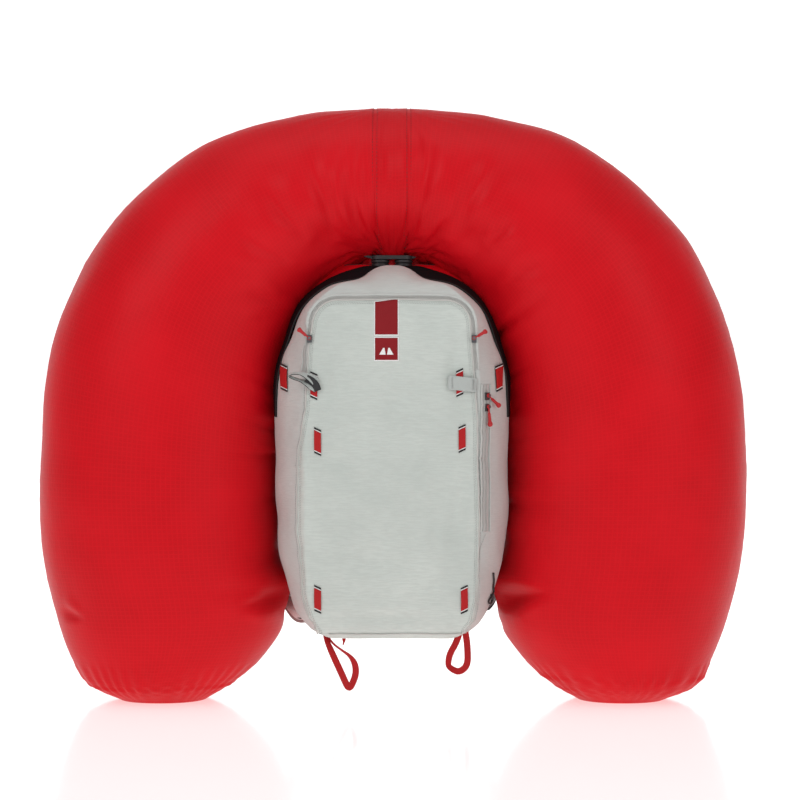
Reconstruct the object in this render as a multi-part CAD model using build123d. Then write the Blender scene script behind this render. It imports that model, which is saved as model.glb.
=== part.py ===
from build123d import *
import math
import os

# Avalanche airbag backpack, inflated and standing on the two lobes of its airbag.
# Millimetres. +Z up, +X to the wearer's right, +Y from the pack towards the wearer's chest.
# The origin is on the floor, under the middle of the whole object.

# ---------------------------------------------------------------- driving dimensions
CLEAR = 0.4                 # gap between neighbouring pieces
BAG_WALL = 1.0              # airbag cloth, both skins and the coating
BAND_HALF = 22.7            # half width of the strip between the two chambers
BAND_CENTRE_Z = 719.0       # middle of the airbag's tube above the neck
BAND_HALF_HEIGHT = 102.0
BAND_HALF_DEPTH = 135.0

# Right chamber, from the crown down to the floor: outer point (x, z), inner point (x, z), half depth in Y.
CHAMBER_STATIONS = [
    ((BAND_HALF + CLEAR, 821), (BAND_HALF + CLEAR, 617), 135),
    ((140, 808), (70, 585), 142),
    ((272, 763), (112, 535), 149),
    ((397, 652), (140, 470), 156),
    ((470, 500), (150, 390), 161),
    ((491, 330), (152, 310), 162),
    ((484, 200), (152, 205), 160),
    ((465, 115), (156, 115), 151),
    ((446, 60), (195, 60), 134),
    ((424, 22), (231, 22), 114),
    ((378, 0), (262, 0), 92),
]

# Pack, from its base up: height, half width, half width of the front, of the back, front Y, rear Y.
PACK_STATIONS = [
    (97, 96, 80, 84, -150, -16),
    (104, 108, 90, 96, -162, -12),
    (116, 121, 100, 108, -170, -12),
    (138, 134, 108, 120, -175, -12),
    (180, 146, 113, 131, -176, -12),
    (235, 157, 115, 139, -176, -12),
    (438, 157, 115, 139, -176, -12),
    (499, 138, 113, 118, -176, -12),
    (530, 124, 111, 100, -175, -12),
    (552, 106, 94, 80, -169, -12),
    (570, 82, 70, 57, -158, -14),
    (585, 54, 42, 36, -140, -20),
    (597, 32, 24, 22, -112, -32),
]
PACK_SKIN = 1.6             # pack cloth with its lining
FRONT_Y = -176.0            # flat part of the pack's front
REAR_Y = -12.0
FRONT_DEPTH_Y = -100.0      # the front panel and the flap lie forward of this
SEAM_X = 112.0              # seam between the front panel and the gussets
BASE_SEAM_Z = 110.0
FLAP_SEAM_Z = 499.3         # fold of the top flap
FLAP_HALF = 105.0
FLAP_TOP_Z = 548.0
FLAP_CORNER = 34.0
WIDE_SHARE = 0.445          # how far from the back the pack is widest, as a share of its depth

NECK_X = 16.0               # gas necks under the airbag
NECK_Y = -48.0
NECK_R = 9.0
NECK_BORE_R = 6.5
NECK_BASE_Z = 560.0
NECK_TOP_Z = 620.4

HEAD_X = -60.0              # firing head and gas cartridge, on the wearer's left
HEAD_Y = -52.0
HEAD_BASE_Z = 430.0
HEAD_TOP_Z = 470.0
CARTRIDGE_R = 28.0
CARTRIDGE_LENGTH = 196.0
CARTRIDGE_WALL = 5.0
HOSE_R = 3.5
CABLE_R = 2.5

FOAM_HALF = 118.0           # back panel
FOAM_BASE_Z = 112.0
FOAM_TOP_Z = 508.0
FOAM_THICK = 24.0

STRAP_X = 52.0              # shoulder straps, sewn to the back panel here
STRAP_Y = 14.0
STRAP_SPLAY = 8.0           # degrees that each strap leans outwards
STRAP_WIDTH = 58.0
STRAP_THICK = 12.0
STRAP_ROUTE = [(8, 503), (36, 536), (90, 540), (138, 505), (162, 440), (164, 360), (144, 280), (116, 235)]
WEBBING_ROUTE = [(100.2, 219), (60, 178), (4, 148)]
WEBBING_WIDTH = 20.0
WEBBING_THICK = 2.0

GRIP_MIDDLE = -6.0          # trigger grip, along the strap's slope and above its face
GRIP_HEIGHT = 9.2
CABLE_EXIT = (-63.0, 527.0) # (x, z) where the trigger cable leaves the pack's back

RAIL_S = 178.5              # sternum rails, measured out along the strap's plane
RAIL_R = 1.6
RAIL_LOW_Z = 356.0
RAIL_HIGH_Z = 420.0
STERNUM_Z = 388.0

ZIP_LIFT = 0.5              # zip chain above the cloth
CHAIN_WIDTH = 3.0
CHAIN_THICK = 1.3
SIDE_ZIP_X = 124.5
SIDE_ZIP_LOW_Z = 240.0
SIDE_ZIP_HIGH_Z = 436.0

TAB_SIZE = (8.5, 27.0, 2.0)


# ---------------------------------------------------------------- general helpers
def slab(x_low, x_high, y_low, y_high, z_low, z_high):
    """A box between two corners."""
    size = (x_high - x_low, y_high - y_low, z_high - z_low)
    middle = ((x_low + x_high) / 2, (y_low + y_high) / 2, (z_low + z_high) / 2)
    return Pos(*middle) * Box(*size)


def rod(x, y, z_low, z_high, radius):
    """An upright cylinder."""
    return Pos(x, y, (z_low + z_high) / 2) * Cylinder(radius, z_high - z_low)


def bend_radii(points):
    """The largest tangent radius that each corner of a route leaves room for."""
    vectors = [Vector(*point) for point in points]
    radii = []
    for before, corner, after in zip(vectors, vectors[1:], vectors[2:]):
        run_in = corner - before
        run_out = after - corner
        half_turn = math.radians(run_in.get_angle(run_out)) / 2
        radii.append(0.45 * min(run_in.length, run_out.length) / math.tan(half_turn))
    return radii


def round_route(points):
    """Straight runs joined by tangent arcs."""
    return FilletPolyline(*points, radius=bend_radii(points))


def tube(name, points, radius):
    """A round cord along a route, with its tightest bend printed."""
    path = round_route(points)
    section = Plane(origin=path @ 0, z_dir=path % 0) * Circle(radius)
    solid = sweep(section, path=path)
    print(name, "length", round(path.length, 1), "radii", [round(value, 1) for value in bend_radii(points)])
    print(name, "volume share", round(solid.volume / (math.pi * radius ** 2 * path.length), 4))
    return solid


def ribbon(points, width, thickness, across):
    """A flat strap along a route that lies in one plane; across is that plane's normal."""
    path = round_route(points)
    section = Plane(origin=path @ 0, x_dir=across, z_dir=path % 0) * Rectangle(width, thickness)
    return sweep(section, path=path)


def closed_ribbon(points, width, thickness, across, radius):
    """A flat strap joined into a loop."""
    path = FilletPolyline(*points, radius=radius, close=True)
    section = Plane(origin=path @ 0, x_dir=across, z_dir=path % 0) * Rectangle(width, thickness)
    return sweep(section, path=path)


def mirrored(solid):
    """The same piece on the other side of the YZ plane."""
    return mirror(solid, about=Plane.YZ)


def save(name, solid):
    """One STEP file for one piece."""
    export_step(solid, f"parts/{name}.step")


# ---------------------------------------------------------------- airbag
def chamber_loft(inset):
    """The tube of the right chamber, as a loft of ellipses square to its centreline."""
    faces = []
    last = len(CHAMBER_STATIONS) - 1
    for index, (outer, inner, half_depth) in enumerate(CHAMBER_STATIONS):
        run = Vector(outer[0] - inner[0], 0, outer[1] - inner[1])
        middle = Vector((outer[0] + inner[0]) / 2, 0, (outer[1] + inner[1]) / 2)
        if index == 0:
            middle = middle + Vector(inset, 0, 0)
        if index == last:
            middle = middle + Vector(0, 0, inset)
        plane = Plane(origin=middle, x_dir=run, z_dir=run.cross(Vector(0, 1, 0)))
        faces.append(plane * Ellipse(run.length / 2 - inset, half_depth - inset))
    return loft(faces)


def airbag_chamber():
    """A sealed hollow chamber with a thin wall."""
    return chamber_loft(0) - chamber_loft(BAG_WALL)


def airbag_band():
    """The strip of cloth that joins the two chambers over the neck."""
    plane = Plane(origin=(-BAND_HALF, 0, BAND_CENTRE_Z), x_dir=(0, 1, 0), z_dir=(1, 0, 0))
    outline = Ellipse(BAND_HALF_DEPTH, BAND_HALF_HEIGHT)
    hollow = Ellipse(BAND_HALF_DEPTH - BAG_WALL, BAND_HALF_HEIGHT - BAG_WALL)
    return extrude(plane * (outline - hollow), amount=2 * BAND_HALF)


# ---------------------------------------------------------------- pack cloth
def pack_section(z, wide, front, back, front_y, rear_y, outset):
    """One level outline of the pack: flat back, flat front and a bulging arc at each side."""
    front_y -= outset
    rear_y += outset
    wide += outset
    front += outset / 2
    back += outset / 2
    wide_y = rear_y + WIDE_SHARE * (front_y - rear_y)
    edges = [
        Line((-back, rear_y, z), (back, rear_y, z)),
        ThreePointArc((back, rear_y, z), (wide, wide_y, z), (front, front_y, z)),
        Line((front, front_y, z), (-front, front_y, z)),
        ThreePointArc((-front, front_y, z), (-wide, wide_y, z), (-back, rear_y, z)),
    ]
    return make_face(Wire(edges))


def pack_solid(outset):
    """The pack's whole volume, grown or shrunk by outset."""
    faces = []
    last = len(PACK_STATIONS) - 1
    for index, (z, *sizes) in enumerate(PACK_STATIONS):
        if index == 0:
            z -= outset
        if index == last:
            z += outset
        faces.append(pack_section(z, *sizes, outset))
    return loft(faces, ruled=True)


def pack_skin(lift, thick):
    """A layer of even thickness lying on the pack's cloth."""
    return pack_solid(lift + thick) - pack_solid(lift)


def flap_outline(grow):
    """The top flap seen from the front, as a tall prism along Y."""
    base = FLAP_SEAM_Z + CLEAR - grow
    half = FLAP_HALF + grow
    top = FLAP_TOP_Z + grow
    height = top - base
    face = Plane.XZ * Pos(0, (base + top) / 2) * Rectangle(2 * half, height)
    corners = face.vertices().sort_by(Axis.Z)[-2:]
    rounded = fillet(corners, FLAP_CORNER + grow)
    return extrude(rounded, amount=200)


def pack_panels():
    """The cloth shell of the pack, cut at its seams."""
    shell = pack_solid(0) - pack_solid(-PACK_SKIN)
    base_z = BASE_SEAM_Z + CLEAR
    top_z = FLAP_SEAM_Z - CLEAR
    wall_y = REAR_Y - PACK_SKIN - CLEAR
    far = 200
    high = 700
    seam_x = SEAM_X + CLEAR
    front_space = slab(-seam_x, seam_x, -far, FRONT_DEPTH_Y + CLEAR, 0, high)
    flap = shell & flap_outline(0) & slab(-far, far, -far, FRONT_DEPTH_Y, 0, high)
    crown = shell & slab(-far, far, -far, 0, FLAP_SEAM_Z + CLEAR / 2, high)
    crown = crown - (flap_outline(0.7) & slab(-far, far, -far, FRONT_DEPTH_Y, 0, high))
    for side in (-1, 1):
        crown = crown - rod(side * NECK_X, NECK_Y, NECK_BASE_Z, NECK_TOP_Z, NECK_R + CLEAR)
    hole = Plane(origin=(CABLE_EXIT[0], -40, CABLE_EXIT[1]), z_dir=(0, 1, 0)) * Circle(CABLE_R + 1.5)
    crown = crown - extrude(hole, amount=50)
    return {
        "bottom_panel": shell & slab(-far, far, -far, 0, 0, BASE_SEAM_Z),
        "back_wall": shell & slab(-far, far, wall_y + CLEAR, 0, base_z, top_z),
        "front_panel": shell & slab(-SEAM_X, SEAM_X, -far, FRONT_DEPTH_Y, base_z, top_z),
        "side_gusset_right": (shell & slab(0, far, -far, wall_y, base_z, top_z)) - front_space,
        "side_gusset_left": (shell & slab(-far, 0, -far, wall_y, base_z, top_z)) - front_space,
        "crown_panel": crown,
        "top_flap": flap,
    }


def compartment_cover():
    """The black cover strip that the airbag burst out of, standing round the pack's shoulders."""
    return pack_skin(2.4, 2.4) & slab(-200, 200, -112, -76, 392, 700)


def burst_zip():
    """The tear-open zip behind the cover strip."""
    return pack_skin(0.6, 1.6) & slab(-200, 200, -73, -68, 392, 700)


def arch_zip():
    """Zip chain round the top flap, with two straight legs below the fold."""
    layer = pack_skin(ZIP_LIFT, CHAIN_THICK) & slab(-200, 200, -200, -100, 488, 700)
    gap = 2.6
    ring = flap_outline(gap + CHAIN_WIDTH) - flap_outline(gap)
    chain = layer & ring & slab(-200, 200, -200, 0, 500, 700)
    for side in (-1, 1):
        middle = side * (FLAP_HALF + gap + CHAIN_WIDTH / 2)
        low, high = middle - CHAIN_WIDTH / 2, middle + CHAIN_WIDTH / 2
        chain = chain + (layer & slab(low, high, -200, 0, 489, 500))
    return chain


def stripe(z_low, z_high):
    """A flat woven stripe, a little left of the middle."""
    return pack_skin(0.3, 0.8) & slab(-22, 8, -200, -100, z_low, z_high)


# ---------------------------------------------------------------- zip sliders and pulls
def front_plane(x, z):
    """A plane on the flat front, with its local Y upwards and its local Z out of the pack."""
    return Plane(origin=(x, FRONT_Y, z), x_dir=(1, 0, 0), z_dir=(0, -1, 0))


def side_plane(x, z):
    """The same on a gusset's arc, in the stretch where the pack's section is constant."""
    size = math.copysign(1, x)
    z_row = next(row for row in PACK_STATIONS if row[0] == 235)
    _, wide, front, back, front_y, rear_y = z_row
    wide_y = rear_y + WIDE_SHARE * (front_y - rear_y)
    arc = ThreePointArc((back, rear_y), (wide, wide_y), (front, front_y))
    centre = arc.arc_center
    reach_x = abs(x) - centre.X
    y = centre.Y - math.sqrt(arc.radius ** 2 - reach_x ** 2)
    normal = Vector(size * reach_x, y - centre.Y, 0).normalized()
    tangent = Vector(0, 0, 1).cross(normal)
    return Plane(origin=(x, y, z), x_dir=tangent, z_dir=normal)


def zip_slider(plane):
    """A slider that straddles the chain, with the pin that its pull turns on."""
    body = Pos(0, 0, 2.5) * Box(6.6, 10, 3.6)
    channel = Pos(0, 0, 1.4) * Box(CHAIN_WIDTH + 1.2, 12, 2.2)
    pin = Pos(0, 1, 5.8) * Cylinder(0.8, 3.4)
    cap = Pos(0, 1, 7.8) * Cylinder(1.9, 0.8)
    return plane * (body - channel + pin + cap)


def zip_pull(plane, turn, length):
    """A red cord pull with a knotted end, turned about the slider's pin; 0 hangs straight down."""
    eye = Cylinder(2.6, 2.4) - Cylinder(1.2, 3.0)
    cord = Pos(0, -(length / 2 + 1.6), 0) * Rot(90, 0, 0) * Cylinder(0.9, length - 1.0)
    knot = Pos(0, -length - 1.5, 0) * Rot(90, 0, 0) * Cylinder(1.4, 6.0)
    return plane * Pos(0, 1, 5.9) * Rot(0, 0, turn) * (eye + cord + knot)


# ---------------------------------------------------------------- gas system
def gas_neck(x):
    """Black neck that carries the gas from a hose into its chamber."""
    body = rod(x, NECK_Y, NECK_BASE_Z, NECK_TOP_Z, NECK_R)
    bore = rod(x, NECK_Y, NECK_BASE_Z + 6, NECK_TOP_Z, NECK_BORE_R)
    inlet = rod(x, NECK_Y, NECK_BASE_Z, NECK_BASE_Z + 6, 2.0)
    return body - bore - inlet


def check_valve(x):
    """Poppet that lifts in the neck while gas flows and shuts behind it."""
    seat_z = NECK_BASE_Z + 6.4
    disc = rod(x, NECK_Y, seat_z, seat_z + 2.5, NECK_BORE_R - CLEAR)
    stem = rod(x, NECK_Y, seat_z + 2.5, seat_z + 14, 1.6)
    return disc + stem


def clamp_flange():
    """Clamp that holds the airbag's throat on the two necks, with a wing at each side."""
    plate = Pos(0, NECK_Y, 608) * extrude(RectangleRounded(58, 34, 12), amount=5)
    for side in (-1, 1):
        plate = plate + Pos(side * 30, NECK_Y, 611) * Rot(0, side * -14, 0) * Box(16, 22, 3)
        plate = plate - rod(side * NECK_X, NECK_Y, 600, 620, NECK_R + 0.15)
    return plate


def firing_head():
    """Block that the cartridge screws into, bored for the striker."""
    outline = RectangleRounded(44, 36, 6)
    block = Pos(HEAD_X, HEAD_Y, HEAD_BASE_Z) * extrude(outline, amount=HEAD_TOP_Z - HEAD_BASE_Z)
    chamber = rod(HEAD_X, HEAD_Y, 440, 466, 6.2)
    rod_hole = rod(HEAD_X, HEAD_Y, 466, HEAD_TOP_Z, 2.5)
    tip_hole = rod(HEAD_X, HEAD_Y, HEAD_BASE_Z, 440, 2.5)
    return block - chamber - rod_hole - tip_hole


def striker():
    """Spring-driven pin that pierces the cartridge."""
    shoulder = rod(HEAD_X, HEAD_Y, 450, 455, 5.8)
    tip = rod(HEAD_X, HEAD_Y, 437.5, 450, 1.6)
    stem = rod(HEAD_X, HEAD_Y, 455, 475, 2.1)
    return shoulder + tip + stem


def striker_spring():
    """Compression spring between the striker's shoulder and the head's roof."""
    wire = 0.5
    coil = Pos(HEAD_X, HEAD_Y, 455.7) * Helix(pitch=2.4, height=9.6, radius=4.2)
    section = Plane(origin=coil @ 0, z_dir=coil % 0) * Circle(wire)
    return sweep(section, path=coil, is_frenet=True)


def gas_cartridge():
    """Refillable cylinder with domed ends and a short neck under the head."""
    top = HEAD_BASE_Z - 10
    body = rod(HEAD_X, HEAD_Y, top - CARTRIDGE_LENGTH, top, CARTRIDGE_R)
    body = fillet(body.edges().filter_by(GeomType.CIRCLE), 14)
    body = body + rod(HEAD_X, HEAD_Y, top - 2, HEAD_BASE_Z - 0.2, 11)
    bore_low = top - CARTRIDGE_LENGTH + CARTRIDGE_WALL
    bore_high = top - CARTRIDGE_WALL
    hollow = rod(HEAD_X, HEAD_Y, bore_low, bore_high, CARTRIDGE_R - CARTRIDGE_WALL)
    return body - fillet(hollow.edges().filter_by(GeomType.CIRCLE), 10)


HOSE_LEFT_ROUTE = [
    (HEAD_X + 10, HEAD_Y - 9, HEAD_TOP_Z),
    (HEAD_X + 10, HEAD_Y - 9, 498),
    (-34, -56, 522),
    (-NECK_X, NECK_Y, 536),
    (-NECK_X, NECK_Y, NECK_BASE_Z),
]
HOSE_RIGHT_ROUTE = [
    (HEAD_X + 10, HEAD_Y + 9, HEAD_TOP_Z),
    (HEAD_X + 10, HEAD_Y + 9, 488),
    (-14, -40, 506),
    (NECK_X, NECK_Y, 528),
    (NECK_X, NECK_Y, NECK_BASE_Z),
]


# ---------------------------------------------------------------- trigger
def strap_frame(side):
    """A plane through a shoulder strap: local X away from the pack, local Y up, for side -1 or 1."""
    lean = math.radians(STRAP_SPLAY)
    out = Vector(side * math.sin(lean), math.cos(lean), 0)
    return Plane(origin=(side * STRAP_X, STRAP_Y, 0), x_dir=out, z_dir=out.cross(Vector(0, 0, 1)))


def on_strap(side, points):
    """Points given as (distance out, height) in a strap's plane, as points in space."""
    plane = strap_frame(side)
    return [plane.from_local_coords(Vector(s, z, 0)) for s, z in points]


def trigger_frame():
    """Plane on the left strap's outer face: local X along its slope downwards, local Y out of it."""
    start, end = on_strap(-1, [STRAP_ROUTE[3], STRAP_ROUTE[4]])
    slope = (end - start).normalized()
    across = strap_frame(-1).z_dir
    outward = across.cross(slope)
    if outward.Y < 0:
        outward = outward * -1
        across = across * -1
    middle = start + (end - start) * 0.5
    return Plane(origin=middle + outward * (STRAP_THICK / 2), x_dir=slope, z_dir=slope.cross(outward))


def trigger_dock():
    """Cradle on the strap that the handle rests in."""
    base = Pos(-6, 1.9, 0) * Box(34, 3, 32)
    for side in (-1, 1):
        base = base + Pos(-6, 6.4, side * 15) * Box(34, 6.2, 2)
    return trigger_frame() * base


def trigger_handle():
    """Grip that the wearer pulls to fire the airbag."""
    grip = Pos(GRIP_MIDDLE, GRIP_HEIGHT, 0) * Box(58, 10.6, 20)
    grip = fillet(grip.edges().filter_by(Axis.X), 3.5)
    stem = Pos(GRIP_MIDDLE - 31.5, GRIP_HEIGHT, 0) * Rot(0, 90, 0) * Cylinder(3.2, 8)
    return trigger_frame() * (grip + stem)


def trigger_cable():
    """Cable housing from the striker, out of the pack's back and along the left strap to the dock."""
    frame = trigger_frame()
    end = frame.from_local_coords(Vector(GRIP_MIDDLE - 35.8, GRIP_HEIGHT, 0))
    before = frame.from_local_coords(Vector(GRIP_MIDDLE - 62, GRIP_HEIGHT + 2, 0))
    points = [
        Vector(HEAD_X, HEAD_Y, 476),
        Vector(HEAD_X, HEAD_Y, 504),
        Vector(-61, -36, 523),
        Vector(CABLE_EXIT[0], -8, CABLE_EXIT[1]),
        Vector(-64, 22, 538),
        Vector(-66, 62, 556),
        Vector(-70, 108, 553),
        before,
        end,
    ]
    return tube("trigger_cable", [tuple(point) for point in points], CABLE_R)


# ---------------------------------------------------------------- back and harness
def back_foam():
    """Moulded back panel with a ventilation channel."""
    middle_z = (FOAM_BASE_Z + FOAM_TOP_Z) / 2
    face = Plane(origin=(0, REAR_Y + CLEAR, middle_z), x_dir=(-1, 0, 0), z_dir=(0, 1, 0))
    pad = extrude(face * RectangleRounded(2 * FOAM_HALF, FOAM_TOP_Z - FOAM_BASE_Z, 34), amount=FOAM_THICK)
    return pad - slab(-18, 18, REAR_Y + FOAM_THICK - 7, 40, FOAM_BASE_Z - 1, FOAM_TOP_Z + 1)


def frame_sheet():
    """Stiff sheet inside the pack's back."""
    face = Plane(origin=(0, REAR_Y - 4.2, 312), x_dir=(-1, 0, 0), z_dir=(0, 1, 0))
    return extrude(face * RectangleRounded(210, 370, 30), amount=1.8)


def frame_stay():
    """Bent aluminium stay in front of the sheet."""
    y = REAR_Y - 6.6
    points = [(-84, y, 140), (-84, y, 470), (-50, y, 490), (50, y, 490), (84, y, 470), (84, y, 140)]
    path = FilletPolyline(*points, radius=16)
    return sweep(Plane(origin=path @ 0, z_dir=path % 0) * Circle(2), path=path)


def shoulder_strap(side):
    """Padded strap that arches over the shoulder and down the chest."""
    return ribbon(on_strap(side, STRAP_ROUTE), STRAP_WIDTH, STRAP_THICK, strap_frame(side).z_dir)


def strap_webbing(side):
    """Webbing from the strap's end back to the foot of the back panel."""
    return ribbon(on_strap(side, WEBBING_ROUTE), WEBBING_WIDTH, WEBBING_THICK, strap_frame(side).z_dir)


def ladder_lock(side):
    """Buckle at the strap's lower end that the webbing is pulled through."""
    top, bottom = on_strap(side, [(114, 233), (101, 220)])
    plane = Plane(origin=top, x_dir=strap_frame(side).z_dir, z_dir=(bottom - top))
    frame = plane * Pos(0, 0, 9.4) * (Box(30, 6, 16) - Pos(0, 0, 2) * Box(22, 8, 4.4))
    return frame


def sternum_rail(side):
    """Rod on the chest side of a strap, on two feet."""
    foot_out = [STRAP_THICK / 2 + 163.6, RAIL_S + RAIL_R]
    plane = strap_frame(side)
    middle_z = (RAIL_LOW_Z + RAIL_HIGH_Z) / 2
    rail = plane * Pos(RAIL_S, middle_z, 0) * Rot(90, 0, 0) * Cylinder(RAIL_R, RAIL_HIGH_Z - RAIL_LOW_Z)
    feet = []
    for z in (RAIL_LOW_Z + 2, RAIL_HIGH_Z - 2):
        middle = sum(foot_out) / 2
        feet.append(plane * (Pos(middle, z, 0) * Box(foot_out[1] - foot_out[0], 4, 8)))
    return rail + feet[0] + feet[1]


def rail_point(side):
    """Where the sternum strap crosses a rail."""
    return on_strap(side, [(RAIL_S, STERNUM_Z)])[0]


def sternum_slider(side):
    """Clip that runs on the rail and holds the sternum webbing."""
    at = rail_point(side)
    body = Pos(at.X, at.Y, STERNUM_Z) * Box(12, 7.6, 18)
    bore = rod(at.X, at.Y, STERNUM_Z - 12, STERNUM_Z + 12, RAIL_R + CLEAR)
    return body - bore


def sternum_web(side, inner_x):
    """Webbing from a slider to its half of the chest buckle."""
    at = rail_point(side)
    outer = side * (abs(at.X) - 6)
    low, high = sorted((outer, inner_x))
    return slab(low, high, at.Y - 0.9, at.Y + 0.9, STERNUM_Z - 9, STERNUM_Z + 9)


def sternum_female():
    """Socket half of the chest buckle."""
    at = rail_point(-1)
    body = slab(-20, 6, at.Y - 4.5, at.Y + 4.5, STERNUM_Z - 13, STERNUM_Z + 13)
    pocket = slab(-12, 7, at.Y - 2.4, at.Y + 2.4, STERNUM_Z - 10, STERNUM_Z + 10)
    return body - pocket


def sternum_male():
    """Prong half of the chest buckle, with the slot that its webbing runs in."""
    at = rail_point(1)
    body = slab(6.5, 35, at.Y - 4, at.Y + 4, STERNUM_Z - 13, STERNUM_Z + 13)
    prongs = slab(-10, 6.5, at.Y - 1.8, at.Y + 1.8, STERNUM_Z - 9.2, STERNUM_Z + 9.2)
    prongs = prongs - slab(-11, 3, at.Y - 3, at.Y + 3, STERNUM_Z - 5, STERNUM_Z + 5)
    slot = slab(9, 36, at.Y - 1.5, at.Y + 1.5, STERNUM_Z - 9.8, STERNUM_Z + 9.8)
    return body + prongs - slot


HIP_LOW_Z = 116.0
HIP_HIGH_Z = 204.0
HIP_ROUTE = [(100, 21), (127, 40), (147, 92), (146, 146)]
HIP_THICK = 12.0
HIP_CUT_X = 260.0             # beyond both fins, where the cut that tapers them starts


def hip_wing(side):
    """Padded fin of the hip belt, sewn to the foot of the back panel."""
    middle_z = (HIP_LOW_Z + HIP_HIGH_Z) / 2
    points = [(side * x, y, middle_z) for x, y in HIP_ROUTE]
    wing = ribbon(points, HIP_HIGH_Z - HIP_LOW_Z, HIP_THICK, (0, 0, 1))
    low_edge = [(10, HIP_LOW_Z), (60, HIP_LOW_Z), (150, 142)]
    high_edge = [(150, 178), (60, HIP_HIGH_Z), (10, HIP_HIGH_Z)]
    outside = Plane(origin=(side * HIP_CUT_X, 0, 0), x_dir=(0, 1, 0), z_dir=(1, 0, 0))
    profile = outside * make_face(Polyline(*low_edge, *high_edge, close=True))
    return wing & extrude(profile, amount=-side * HIP_CUT_X)


def hip_buckle(side, prong):
    """One half of the hip buckle; prong is true for the half with the prongs."""
    x, y = HIP_ROUTE[-1]
    x_low, x_high = sorted((side * (x - 5), side * (x + 5)))
    body = slab(x_low, x_high, y + 0.3, y + 24, 144, 176)
    if prong:
        for z in (148, 168):
            body = body + slab(x_low + 3, x_high - 3, y + 24, y + 38, z, z + 4)
        return body
    return body - slab(x_low + 2.4, x_high - 2.4, y + 6, y + 25, 147, 173)


def haul_loop():
    """Grab loop over the back panel."""
    y = 2.0
    base = FOAM_TOP_Z + 0.6
    points = [(-18, y, base), (-18, y, 548), (18, y, 548), (18, y, base)]
    path = FilletPolyline(*points, radius=14)
    section = Plane(origin=path @ 0, x_dir=(0, 1, 0), z_dir=path % 0) * Rectangle(18, 2)
    return sweep(section, path=path)


# ---------------------------------------------------------------- loops and tabs
def ski_strap_right():
    """Stiff webbing loop sewn at the right seam and lying along the front."""
    points = [(113, -180.4, 437), (76, -180.4, 437), (76, -187.4, 437), (113, -187.4, 437)]
    return closed_ribbon(points, 18, 1.5, (0, 0, 1), 3.0)


def ski_strap_left():
    """The same loop at the left seam, standing open."""
    points = [(-133, -181.2, 437), (-100, -181.2, 437), (-100, -193.2, 437), (-133, -193.2, 437)]
    return closed_ribbon(points, 18, 1.5, (0, 0, 1), 5.6)


LOOP_Y = -128.0
LOOP_TOP_Z = 92.0
LOOP_LEFT_ROUTE = [
    (-90, LOOP_TOP_Z),
    (-74, 62),
    (-63, 31),
    (-51, 29),
    (-46, 48),
    (-56, 74),
    (-81, LOOP_TOP_Z),
]
LOOP_RIGHT_ROUTE = [(88, LOOP_TOP_Z), (77, 74), (76, 58), (88, 51), (101, 58), (103, LOOP_TOP_Z)]


def bottom_loop(route):
    """Thin red webbing loop hanging under the pack, for ice axes."""
    points = [(x, LOOP_Y, z) for x, z in route]
    return ribbon(points, 6, 1.8, (0, 1, 0))


def gear_tabs():
    """Red lash tabs sewn to the front and to the gussets."""
    tab = Pos(0, 0, 0.3 + TAB_SIZE[2] / 2) * Box(*TAB_SIZE)
    places = [(-98, 360), (93, 364), (-98, 151), (96, 151), (-103, 434), (90, 438)]
    tabs = [front_plane(x, z) * tab for x, z in places]
    tabs += [side_plane(x, z) * tab for x, z in ((-147, 424), (147, 424))]
    return Compound(tabs)


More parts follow.
